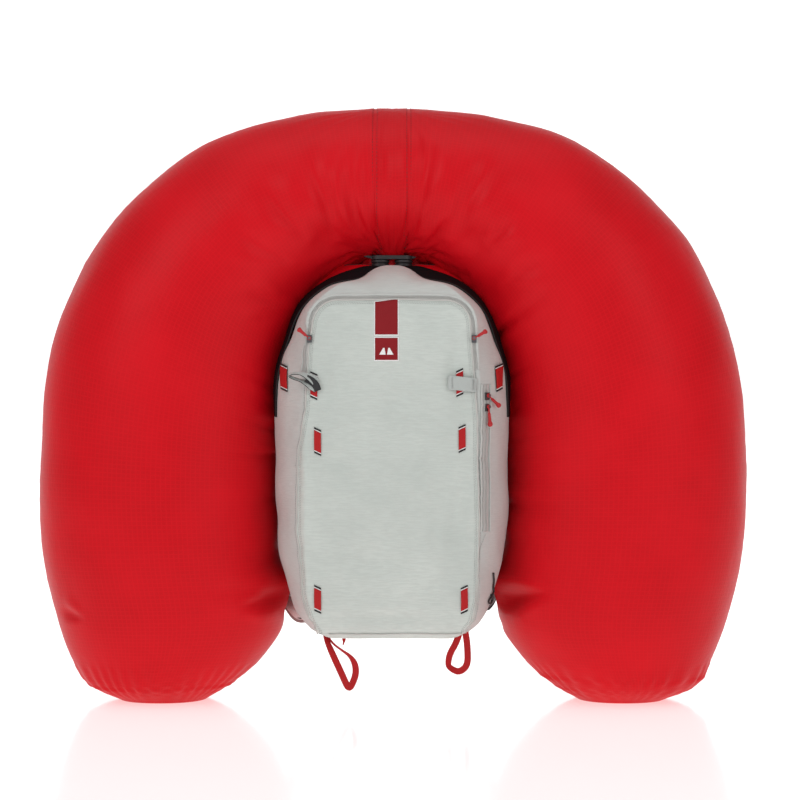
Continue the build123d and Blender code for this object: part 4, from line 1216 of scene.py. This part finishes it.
def tab_cloth(place, lean, name, surface, made):
    """One lash tab: a red web with slanted ends, a white thread line and a black bar beyond each end."""
    x, z = place
    slant = 4.2 * lean
    half_w, half_h = TAB_WIDTH / 2, TAB_HEIGHT / 2

    def ribbon_patch(z_shift, height, thick, lift, material, kind, bulge=0.0):
        u = np.linspace(-1, 1, 11)[None, :]
        v = np.linspace(-1, 1, 15)[:, None]
        px = x + u * half_w + 0 * v
        pz = z + z_shift + v * height / 2 - u * slant / 2
        points, normals = surface(px, pz, lift)
        points = points + normals * (bulge * (1 - v**2) * (1 - 0.15 * u**2))[..., None]
        sheet = grid(f"{name}_{kind}", points * MM, material)
        modify(sheet, "SOLIDIFY", thickness=thick, offset=1)
        made[kind].append(sheet)

    ribbon_patch(0, TAB_HEIGHT, 0.0013, 1.4, M["red_web"], "web", 0.9)
    for end in (-1, 1):
        ribbon_patch(end * (half_h + 1.0), 1.2, 0.0009, 1.4, M["white_print"], "line")
        ribbon_patch(end * (half_h + 3.0), 2.2, 0.0012, 1.4, M["black_thread"], "bar")


def side_surface(side):
    """Lays a tab on the gusset of one side, whatever the sign of its x."""
    return lambda x, z, lift: on_front(side * np.abs(x), z, lift)


def gear_tabs():
    made = {"web": [], "line": [], "bar": []}
    for index, (x, z, lean) in enumerate(TAB_PLACES):
        tab_cloth((x, z), lean, f"tab_{index}", on_front, made)
    for side in (-1, 1):
        tab_cloth((side * 142.5, 445), -side, f"tab_side_{side}", side_surface(side), made)
    hide_behind(join("gear_tab_webs", made["web"]), "root", "red_webbing", "gear_tabs")
    hide_behind(join("gear_tab_lines", made["line"]), "root", "front_fabric")
    hide_behind(join("gear_tab_bars", made["bar"]), "root", "black_fabric")


def two_faced(obj, columns, second, test):
    """Gives the quads of a strap whose column passes the test a second material."""
    obj.data.materials.append(second)
    for polygon in obj.data.polygons:
        if len(polygon.vertices) == 4 and test(polygon.index % columns):
            polygon.material_index = 1
    return obj


def ski_loops():
    """Webbing loops at both seams: the right one lies flat, the left one stands open."""
    right = [(112.5, -178.2, 434.2), (104, -179.6, 435), (92, -181.2, 436.4), (80, -181.6, 437.9),
             (75.2, -182.2, 438.4), (74.6, -184.6, 438.4), (78, -186.6, 438), (92, -187.2, 436.6),
             (104, -185.6, 435.4), (112.5, -180.6, 434.6)]
    path = rounded(right, 90) * MM
    loop = strap("ski_loop_right_web", path, 0.0185, 0.0015, M["grey_web"], (0.05, 0, 1))
    hide_behind(loop, "ski_strap_right", "grey_webbing", "ski_strap_right")
    rows = []
    for x in (79.5, 108.0):
        z = np.linspace(-7.6, 7.6, 20)
        bar = np.stack([x + 0 * z, -187.45 + 1.9 * (x > 100) + 0 * z, 437.4 - (x - 80) * 0.085 + z], 1) * MM
        for shift in (0, 0.0012):
            rows.append(stitches("row", bar + [shift, 0, 0], (0, -1, 0), M["thread"],
                                 0.0019, 0.0015, 0.0004, 0.0))
    hide_behind(join("ski_loop_right_stitching", rows), "ski_strap_right", "grey_webbing")

    left = [(-99.5, -180.2, 431), (-106, -182.6, 433.5), (-114, -186, 438), (-124, -188.5, 442),
            (-132, -189, 444.5), (-136, -189, 447.2), (-132, -189, 450.2), (-124, -189.5, 450.4),
            (-114, -188, 447.6), (-106, -185, 443.5), (-99.5, -182.2, 438.4)]
    path = rounded(left, 120) * MM
    share = np.linspace(-1, 1, len(path))
    turn = np.clip(1.6 - np.abs(share) * 1.6, 0, 1)[:, None]
    side = unit(np.array([0.05, 0, 1.0]) * (1 - turn) + np.array([0.0, 0.97, 0.26]) * turn)
    loop = strap("ski_loop_left_web", path, 0.0125, 0.0015, M["grey_web"], side)
    two_faced(loop, 20, M["black_web"], lambda j: j in (18, 19, 0, 1, 8, 9, 10, 11))
    hide_behind(loop, "ski_strap_left", "grey_webbing", "ski_strap_left")
    # painted shade: this black web patch at the left loop's root stands for the grey webbing's inner face
    # where it lies in shade
    root = rounded([(-113, -187.6, 443.5), (-106, -186, 440.5), (-100, -183.4, 434.5),
                    (-97.6, -181.2, 427.5)], 30) * MM
    width = np.linspace(0.0105, 0.0150, 30) * np.linspace(1.0, 0.62, 30)
    patch = strap("ski_loop_left_shaded_root", root, width, 0.0016, M["black_web"], (1.0, 0, 0.85))
    hide_behind(patch, "ski_strap_left", "black_webbing")


LOOP_Y = -128.0
LOOP_LEFT_ROUTE = [  # x, z and how far the web turns its face to the front
    (-91, 106, 0.4), (-89.5, 98, 0.6), (-86, 88, 0.9), (-78, 70, 1.4), (-66, 44, 1.5), (-59, 28, 1.5),
    (-55, 29, 1.5), (-48, 46, 1.5), (-49, 60, 1.3), (-56, 71, 0.6), (-68, 79, 0.35), (-80, 88, 0.35),
    (-86.5, 98, 0.35), (-87.5, 106, 0.4),
]
LOOP_RIGHT_ROUTE = [
    (91.5, 107, 1.5), (90, 99, 1.5), (86, 88, 1.5), (78, 74, 1.45), (76, 64, 1.2), (76, 57, 0.9),
    (83, 52, 1.1), (90, 49.5, 1.4), (98, 54, 1.5), (102, 62, 1.5), (102, 76, 1.5), (101, 90, 1.5),
    (99.5, 99, 1.5), (98, 108, 1.5),
]


def axe_loops():
    """Narrow red webbing loops under the pack, twisted as they hang."""
    for name, route in (("left", LOOP_LEFT_ROUTE), ("right", LOOP_RIGHT_ROUTE)):
        lean = np.linspace(-1.5, 1.5, len(route))
        points = np.array([(x, LOOP_Y + shift, z, turn) for (x, z, turn), shift in zip(route, lean)], float)
        line = rounded(points, 130)
        path, angle = line[:, :3] * MM, line[:, 3:4]
        along = tangents(path)
        deep = np.array([0, 1.0, 0])
        side = np.cos(angle) * deep + np.sin(angle) * unit(np.cross(along, deep))
        loop = strap(f"axe_loop_{name}", path, 0.0090, 0.0012, M["red_web"], side)
        hide_behind(loop, f"bottom_loop_{name}", "red_webbing", f"bottom_loop_{name}")
    tag = rounded([(-64.5, -130, 103), (-64.5, -131, 96), (-64, -131, 92), (-65.5, -130.5, 86)], 24) * MM
    width = np.interp(np.linspace(0, 1, 24), [0, 0.3, 0.55, 0.8, 1], [0.0026, 0.0030, 0.0050, 0.0024, 0.0016])
    hide_behind(strap("base_pull_tag", tag, width, 0.0024, M["red_web"], (1, 0, 0.1)), "root", "red_webbing")
    x = np.linspace(-84, 92, 200)
    z = 105.2 + 1.0 * np.sin(x / 21.0) * bell(x + 10, 60)
    piping = tube("base_seam_piping", on_front(x, z, 1.9)[0] * MM, 0.0010, M["piping"], 10)
    hide_behind(piping, "root", "side_fabric")


# ================================================================ airbag compartment at the pack's edge
ARCH_LOW = 392.0
ARCH_REAR = -72.0              # the band's depth where it passes behind the hump of the crown


def arch_curve(y, count=150):
    """The pack's outline in x and z at a depth, from low on the left, over the top, to low on the right."""
    z = np.linspace(ARCH_LOW, 592, 80)
    x = pack_x(y, z)
    turn = np.linspace(0, math.pi / 2, 22)[1:]
    top = np.stack([x[-1] * np.cos(turn), 592 + 8.5 * np.sin(turn)], 1)
    half = np.concatenate([np.stack([x, z], 1), top])
    line = np.concatenate([half * [-1, 1], half[-2::-1]])
    line = evenly(line, count)
    line[:, 1] -= crown_fall(line[:, 0], line[:, 1]) * float(np.clip((-y - 80) / 30, 0, 1))
    for _ in range(6):
        line[1:-1] = (line[:-2] + line[1:-1] * 2 + line[2:]) / 4
    return line


def arch_band(name, depths, lifts, material, wave, drop):
    """A band of cloth that follows the arch; each row has its own depth and its own stand-off."""
    rows = []
    for index, (y, lift) in enumerate(zip(depths, lifts)):
        line = arch_curve(y)
        run = unit(np.gradient(line, axis=0))
        out = np.stack([-run[:, 1], run[:, 0]], 1)
        share = np.linspace(-1, 1, len(line))
        swell = 0.18 + 0.82 * bell(np.abs(share) - 0.40, 0.30)
        swell *= np.clip((1 - np.abs(share)) / 0.16, 0.0, 1) ** 0.7
        ripple = wave * np.array([noise.noise(Vector((s * 7, index * 0.15, 3.0))) for s in share])
        shift = (1.0 + (lift - 1.0) * swell + ripple * (lift / max(lifts)))[:, None]
        centre = bell(share, 0.17)[:, None]
        moved = line + out * (shift * (1 - 0.8 * centre))
        moved[:, 1] -= drop * bell(moved[:, 0], 34)
        depth = y + (ARCH_REAR - y) * 0.75 * centre[:, 0]
        rows.append(np.stack([moved[:, 0], depth, moved[:, 1]], 1))
    piece = grid(name, np.array(rows) * MM, material)
    modify(piece, "SOLIDIFY", thickness=0.0012, offset=0)
    modify(piece, "SUBSURF", levels=1)
    return piece, np.array(rows) * MM


def compartment():
    """The black cover that burst open along its zip, and the red cloth that comes out behind it."""
    depths = [-110, -104, -98, -92, -86, -80, -74, -70]
    lifts = [1.6, 3.4, 5.6, 8.0, 10.4, 12.2, 13.2, 13.0]
    cover, rows = arch_band("compartment_cover_cloth", depths, lifts, M["black_fabric"], 1.6, 5.0)
    hide_behind(cover, "root", "black_fabric", "compartment_cover")
    edge = rows[-1]
    out = unit(edge - rows[-2])
    normals = unit(edge - np.array([0, -0.07, 0.42]))
    coil = zip_teeth("burst_zip_coil", edge + out * 0.0012, normals, M["coil"], 0.0016, 0.0005)
    hide_behind(coil, "root", "zip_chain", "burst_zip")
    hem = tube("compartment_hem", rows[0] + normals * 0.0004, 0.0013, M["black_thread"], 8)
    hide_behind(hem, "root", "black_fabric")
    throat()
    depths = [-73, -68, -63, -59, -56]
    lifts = [5, 15, 24, 30, 32]
    skirt, rows = arch_band("airbag_skirt_cloth", depths, lifts, M["airbag"], 3.0, 10.0)
    hide_behind(skirt, "root", "airbag_fabric")
    rim = tube("airbag_skirt_binding", rows[-1], 0.0011, M["black_thread"], 8)
    hide_behind(rim, "root", "black_fabric")


NECK_X, NECK_Y = 16.0, FLANGE[1] - 6
COLLAR_PROFILE = [(9.2, 596), (12.4, 596.4), (12.8, 598), (12.8, 601), (11.2, 601.6), (11.2, 603),
                  (12.6, 603.6), (12.6, 606.6), (9.2, 607.2)]


def neck_piece(name, profile, material):
    """Turned shapes round both gas necks, from radii and heights."""
    turn = full_turn(48)
    parts = []
    for side in (-1, 1):
        rings = [np.stack([side * NECK_X + radius * np.cos(turn), NECK_Y + radius * np.sin(turn),
                           np.full(48, float(z))], 1) for radius, z in profile]
        parts.append(capped(name, np.array(rings) * MM, material))
    return join(name, parts)


def throat():
    """The airbag's gathered collar, with a ribbed rubber boot and a collar on each neck."""
    rings = []
    spin = full_turn(72)
    for share in [step / 24 for step in range(25)]:
        ring = np.stack([(50.0 - 9 * share) * np.cos(spin), FLANGE[1] + 19.0 * np.sin(spin),
                         np.full(72, 586 + share * 26)], 1)
        ring[:, 1] += 13.0
        ring[:, :2] += 1.1 * np.stack([np.cos(spin), np.sin(spin)], 1) * np.sin(spin * 18)[:, None]
        rings.append(ring)
    gather = capped("airbag_throat_collar", np.array(rings) * MM, M["airbag"])
    hide_behind(gather, "root", "airbag_fabric")
    ribs = [(11.0 + 0.9 * math.sin(share * math.pi * 9) - 1.2 * share, 586 + share * 21.5)
            for share in [step / 36 for step in range(37)]]
    hide_behind(neck_piece("neck_boots", ribs, M["rubber"]), "root", "hose_rubber")
    collar = neck_piece("neck_collars", COLLAR_PROFILE, M["plastic"])
    modify(collar, "BEVEL", width=0.0004, segments=2, limit_method="ANGLE")
    hide_behind(collar, "root", "black_plastic")


def pull_sleeves():
    """A moulded sleeve and a knot at the end of each zip cord."""
    for pull, slider in (("arch_pull_left", "arch_slider_left"), ("arch_pull_right", "arch_slider_right"),
                         ("side_pull_upper", "side_slider_upper"), ("side_pull_lower", "side_slider_lower")):
        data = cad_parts[pull].data
        points = np.array([vert.co[:] for vert in data.vertices])
        low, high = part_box(slider)
        pin = (np.array(low) + np.array(high)) / 2
        far = points[np.argmax(np.linalg.norm(points - pin, axis=1))]
        run = unit(far - points.mean(0))
        middle = points.mean(0)
        reach = (points - middle) @ run
        end = middle + run * reach.max()
        near = middle + run * (reach.min() * 0.05)
        share = np.linspace(0, 1, 24)[:, None]
        path = near * (1 - share) + end * share
        radius = np.interp(share[:, 0], [0, 0.12, 0.6, 0.8, 0.93, 1],
                           [0.0014, 0.0020, 0.0021, 0.0034, 0.0031, 0.0012])
        sleeve = tube(f"{pull}_sleeve", path, radius, M["cord"], 14)
        hide_behind(sleeve, pull, "pull_cord")


# ================================================================ harness
STRAP_ROOT = (52.0, 14.0)
STRAP_SPLAY = math.radians(8)
STRAP_ROUTE = [(8, 503), (36, 536), (90, 540), (138, 505), (162, 440), (164, 360), (144, 280), (116, 235)]
WEB_ROUTE = [(100.2, 219), (60, 178), (4, 148)]
STRAP_WIDTH, STRAP_THICK = 58.0, 12.0


def on_strap(side, points):
    out, up = math.sin(STRAP_SPLAY), math.cos(STRAP_SPLAY)
    return np.array([(side * (STRAP_ROOT[0] + s * out), STRAP_ROOT[1] + s * up, z) for s, z in points], float)


def strap_side(side):
    return np.array([math.cos(STRAP_SPLAY), -side * math.sin(STRAP_SPLAY), 0.0])


def shoulder_straps():
    for name, side in (("left", -1), ("right", 1)):
        path = rounded(on_strap(side, STRAP_ROUTE), 170) * MM
        across = strap_side(side)
        ends = np.clip(np.minimum(np.arange(170), 169 - np.arange(170)) / 9, 0, 1)
        width = (STRAP_WIDTH - 3) * MM * (0.78 + 0.22 * np.sqrt(1 - (1 - ends) ** 2))
        thick = (STRAP_THICK - 1.0) * MM * (0.55 + 0.45 * ends)
        pad = strap(f"shoulder_pad_{name}", path, width, thick, M["strap_cloth"], across, 22, 1.35)
        two_faced(pad, 44, M["strap_mesh"], lambda j: j < 22)
        hide_behind(pad, "root", "strap_fabric", f"shoulder_strap_{name}")
        along = tangents(path)
        side_line = unit(across - along * (along @ across)[:, None])
        up = np.cross(along, side_line)
        for edge, where in ((-1, "inner"), (1, "outer")):
            line = path + side_line * (edge * (width / 2 - 0.0006))[:, None]
            binding = strap(f"shoulder_binding_{name}_{where}", line, 0.0030, 0.0062, M["black_tape"],
                            side_line, 8, 2.6)
            hide_behind(binding, "root", "black_webbing")
        low, high = 62, 150
        face = path[low:high] - up[low:high] * (STRAP_THICK / 2 * MM - 0.0002)
        web = strap(f"shoulder_web_{name}", face, 0.0195, 0.0013, M["black_web"], side_line[low:high])
        hide_behind(web, "root", "black_webbing")
        rows = []
        for place in range(8, high - low, 20):
            at = face[place] - up[low + place] * 0.0008
            for shift in (-0.0007, 0.0007):
                run = np.linspace(-0.0088, 0.0088, 22)[:, None] * side_line[low + place] + at
                rows.append(stitches("row", run + along[low + place] * shift, -up[low + place], M["thread"],
                                     0.0018, 0.0014, 0.00035, 0.0))
        for edge in (-1, 1):
            line = path + side_line * (edge * (width / 2 - 0.0034))[:, None] - up * (thick * 0.335)[:, None]
            rows.append(stitches("row", line, -up, M["thread"], 0.0036, 0.0026, 0.0003, 0.0001))
        hide_behind(join(f"shoulder_stitching_{name}", rows), "root", "strap_fabric")
        route = rounded(on_strap(side, WEB_ROUTE), 60) * MM
        web = strap(f"strap_webbing_{name}", route, 0.0196, 0.0018, M["black_web"], across)
        hide_behind(web, "root", "black_webbing", "strap_webbing")


def sternum_strap():
    """Two short straight webs that fill their CAD boxes."""
    for name in ("left", "right"):
        low, high = [np.array(corner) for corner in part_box(f"sternum_web_{name}")]
        middle, size = (low + high) / 2, high - low
        path = np.stack([np.linspace(low[0], high[0], 24), np.full(24, middle[1]), np.full(24, middle[2])], 1)
        path[:, 1] += 0.0002 * np.sin(np.linspace(0, math.pi, 24))
        web = strap(f"sternum_webbing_{name}", path, size[2] * 0.99, size[1] * 0.96, M["black_web"],
                    (0, 0, 1))
        hide_behind(web, f"sternum_{name}", "black_webbing", f"sternum_web_{name}")


HIP_ROUTE = [(100, 21), (127, 40), (147, 92), (146, 146)]
HIP_LOW, HIP_HIGH = 116.0, 204.0


def hip_wings():
    for name, side in (("left", -1), ("right", 1)):
        points = [(side * x, y, (HIP_LOW + HIP_HIGH) / 2) for x, y in HIP_ROUTE]
        path = rounded(points, 90)
        width = np.interp(path[:, 1], [20, 60, 146], [85, 84, 37])
        thick = np.interp(np.arange(90), [0, 5, 84, 89], [8, 11, 10.5, 6])
        path = path * MM
        along = tangents(path)
        up = np.cross(along, np.array([0, 0, 1.0]))
        pad = strap(f"hip_pad_{name}", path, width * MM, thick * MM, M["strap_cloth"], (0, 0, 1), 24, 1.5)
        outer = (lambda j: j >= 24) if side > 0 else (lambda j: j < 24)
        two_faced(pad, 48, M["strap_mesh"], outer)
        hide_behind(pad, f"hip_{name}", "strap_fabric", f"hip_wing_{name}")
        for edge, where in ((-1, "foot"), (1, "top")):
            line = path + np.array([0, 0, 1.0]) * (edge * (width / 2 - 0.8) * MM)[:, None]
            binding = strap(f"hip_binding_{name}_{where}", line, 0.0034, 0.0064, M["black_tape"],
                            (0, 0, 1), 8, 2.6)
            hide_behind(binding, f"hip_{name}", "black_webbing")
        face = path[30:] + up[30:] * side * 0.0056
        web = strap(f"hip_web_{name}", face, 0.025, 0.0015, M["black_web"], (0, 0, 1))
        hide_behind(web, f"hip_{name}", "black_webbing")
    hip_pocket()


def hip_pocket():
    """A thin mesh pouch under the left fin's root, with a black binding and a pale hem."""
    u = np.linspace(0, 1, 40)
    top = rounded([(-112, 12, 141), (-126, 26, 143), (-141, 44, 140), (-154, 62, 134)], 40)
    foot = rounded([(-110, 10, 112), (-124, 20, 105), (-138, 34, 107), (-155, 58, 130)], 40)
    v = np.linspace(0, 1, 18)
    sheet = top[None] * (1 - v[:, None, None]) + foot[None] * v[:, None, None]
    bulge = np.sin(np.pi * u)[None, :] * np.sin(np.pi * v)[:, None]
    out = unit(np.array([-0.75, -0.62, -0.1]))
    sheet = sheet + out * (bulge * 7.0)[..., None]
    pouch = grid("hip_pocket_mesh", sheet * MM, M["pocket_mesh"])
    modify(pouch, "SOLIDIFY", thickness=0.001, offset=0)
    hide_behind(pouch, "hip_left", "strap_fabric")
    hem = rounded(foot, 40) * MM
    band = strap("hip_pocket_hem", hem, 0.007, 0.0022, M["side"], (0.2, 0.2, 1))
    hide_behind(band, "hip_left", "side_fabric")
    line = hem + np.array([0, -0.0012, 0.0036])
    hide_behind(tube("hip_pocket_binding", line, 0.0015, M["black_thread"], 8), "hip_left", "black_fabric")
    tag = rounded([(-152, 58, 134), (-158, 60, 137), (-163, 61, 137.5)], 16) * MM
    tag = strap("hip_pocket_tag", tag, 0.0045, 0.0014, M["white_print"], (0, 0.2, 1))
    hide_behind(tag, "hip_left", "side_fabric")


def back_panel():
    """Moulded foam back panel: two tall pads with a channel between them and sewn channels across."""
    half_x, half_z = 118.0, 198.0
    middle_z = 310.0
    turn = full_turn(200)
    power = 9.0                # how square the outline is
    edge = np.stack([np.cos(turn), np.sin(turn)], 1)
    edge /= (np.abs(edge) ** power).sum(1, keepdims=True) ** (1 / power)
    shares = np.concatenate([np.linspace(0.012, 0.86, 46),
                             1 - 0.14 * np.cos(np.linspace(0, math.pi / 2, 14))[1:]])
    rings = []
    for share in shares:
        x, z = edge[:, 0] * half_x * share, edge[:, 1] * half_z * share
        to_edge = np.minimum(half_x - np.abs(x), half_z - np.abs(z))
        rim = np.sqrt(np.clip(1 - (1 - np.clip(to_edge / 15, 0, 1)) ** 2, 0, 1))
        channel = np.exp(-(np.abs(x) / 19) ** 4)
        sewn = sum(bell(z - place, 3.4) for place in (-132, -66, 0, 66, 132))
        lung = bell(np.abs(x) - 67, 2.8)
        height = 23.6 * rim - (14.0 * channel + 3.2 * sewn * (1 - channel) + 1.6 * lung * (1 - channel)) * rim
        rings.append(np.stack([x, -11.4 + np.maximum(height, 0), middle_z + z], 1))
    for share in (0.97, 0.6, 0.1):
        x, z = edge[:, 0] * half_x * share, edge[:, 1] * half_z * share
        rings.append(np.stack([x, np.full(len(x), -11.5), middle_z + z], 1))
    panel = capped("back_panel_pad", np.array(rings) * MM, M["back_mesh"])
    hide_behind(panel, "root", "back_mesh", "back_foam")
    rim = np.stack([edge[:, 0] * (half_x + 0.6), np.full(len(edge), -9.6),
                    middle_z + edge[:, 1] * (half_z + 0.6)], 1)
    rim = np.concatenate([rim, rim[:1]]) * MM
    hide_behind(tube("back_panel_binding", rim, 0.0021, M["black_tape"], 10), "root", "black_webbing")


def haul_loop():
    """Grab loop of red webbing over the back panel."""
    path = rounded([(-18, 2, 507), (-18, 2, 528), (-17.5, 2, 547.5), (0, 2, 548.4), (17.5, 2, 547.5),
                    (18, 2, 528), (18, 2, 507)], 90) * MM
    loop = strap("haul_loop_web", path, 0.0176, 0.0019, M["red_web"], (0, 1, 0))
    hide_behind(loop, "haul_loop", "red_webbing", "haul_loop")


def side_details():
    """Black elastic cord low on the right gusset."""
    corners = [(136, 183), (137.5, 172), (136, 163), (137, 157), (133, 150), (129, 145), (130.5, 140.5),
               (134.5, 142), (136, 147), (133, 153)]
    flat = rounded(corners, 80)
    points = on_front(flat[:, 0], flat[:, 1], 2.0)[0]
    cord = tube("side_elastic_cord", points * MM, 0.0013, M["black_cord"], 10)
    hide_behind(cord, "root", "black_webbing")


# ================================================================ materials of the CAD parts that stay
CAD_FINISH = {
    "plastic": ("gas_neck_left", "gas_neck_right", "clamp_flange", "check_valve_left", "check_valve_right",
                "trigger_dock", "ladder_locks", "sternum_rails", "sternum_slider_left",
                "sternum_slider_right", "sternum_buckle_female", "sternum_buckle_male",
                "hip_buckle_female", "hip_buckle_male"),
    "head_metal": ("firing_head",),
    "cartridge": ("gas_cartridge",),
    "rubber": ("gas_hoses", "trigger_cable"),
    "steel": ("striker", "striker_spring"),
    "aluminium": ("frame_stay",),
    "sheet": ("frame_sheet",),
    "trigger": ("trigger_handle",),
    "zip_metal": ("arch_slider_left", "arch_slider_right", "side_slider_upper", "side_slider_lower"),
    "cord": ("arch_pull_left", "arch_pull_right", "side_pull_upper", "side_pull_lower"),
}


def finish_cad():
    for key, names in CAD_FINISH.items():
        for name in names:
            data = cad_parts[name].data
            if not data.materials:
                data.materials.append(M[key])
            for slot in range(len(data.materials)):
                data.materials[slot] = M[key]


# ================================================================ make everything
make_camera()
make_studio()
make_floor()
airbag_left = airbag_chamber(-1, "airbag_left_cloth")
airbag_right = airbag_chamber(1, "airbag_right_cloth")
hide_behind(airbag_left, "root", "airbag_fabric", "airbag_chamber_left")
hide_behind(airbag_right, "root", "airbag_fabric", "airbag_chamber_right")
hide_behind(airbag_band(), "root", "airbag_band_fabric", "airbag_centre_band")
hide_behind(airbag_seams(), "root", "airbag_band_fabric")
pack_body()
pack_front()
pack_bottom()
pack_seams()
arch_zip()
side_zip()
stripes()
gear_tabs()
ski_loops()
axe_loops()
compartment()
shoulder_straps()
sternum_strap()
hip_wings()
back_panel()
haul_loop()
side_details()
pull_sleeves()
finish_cad()
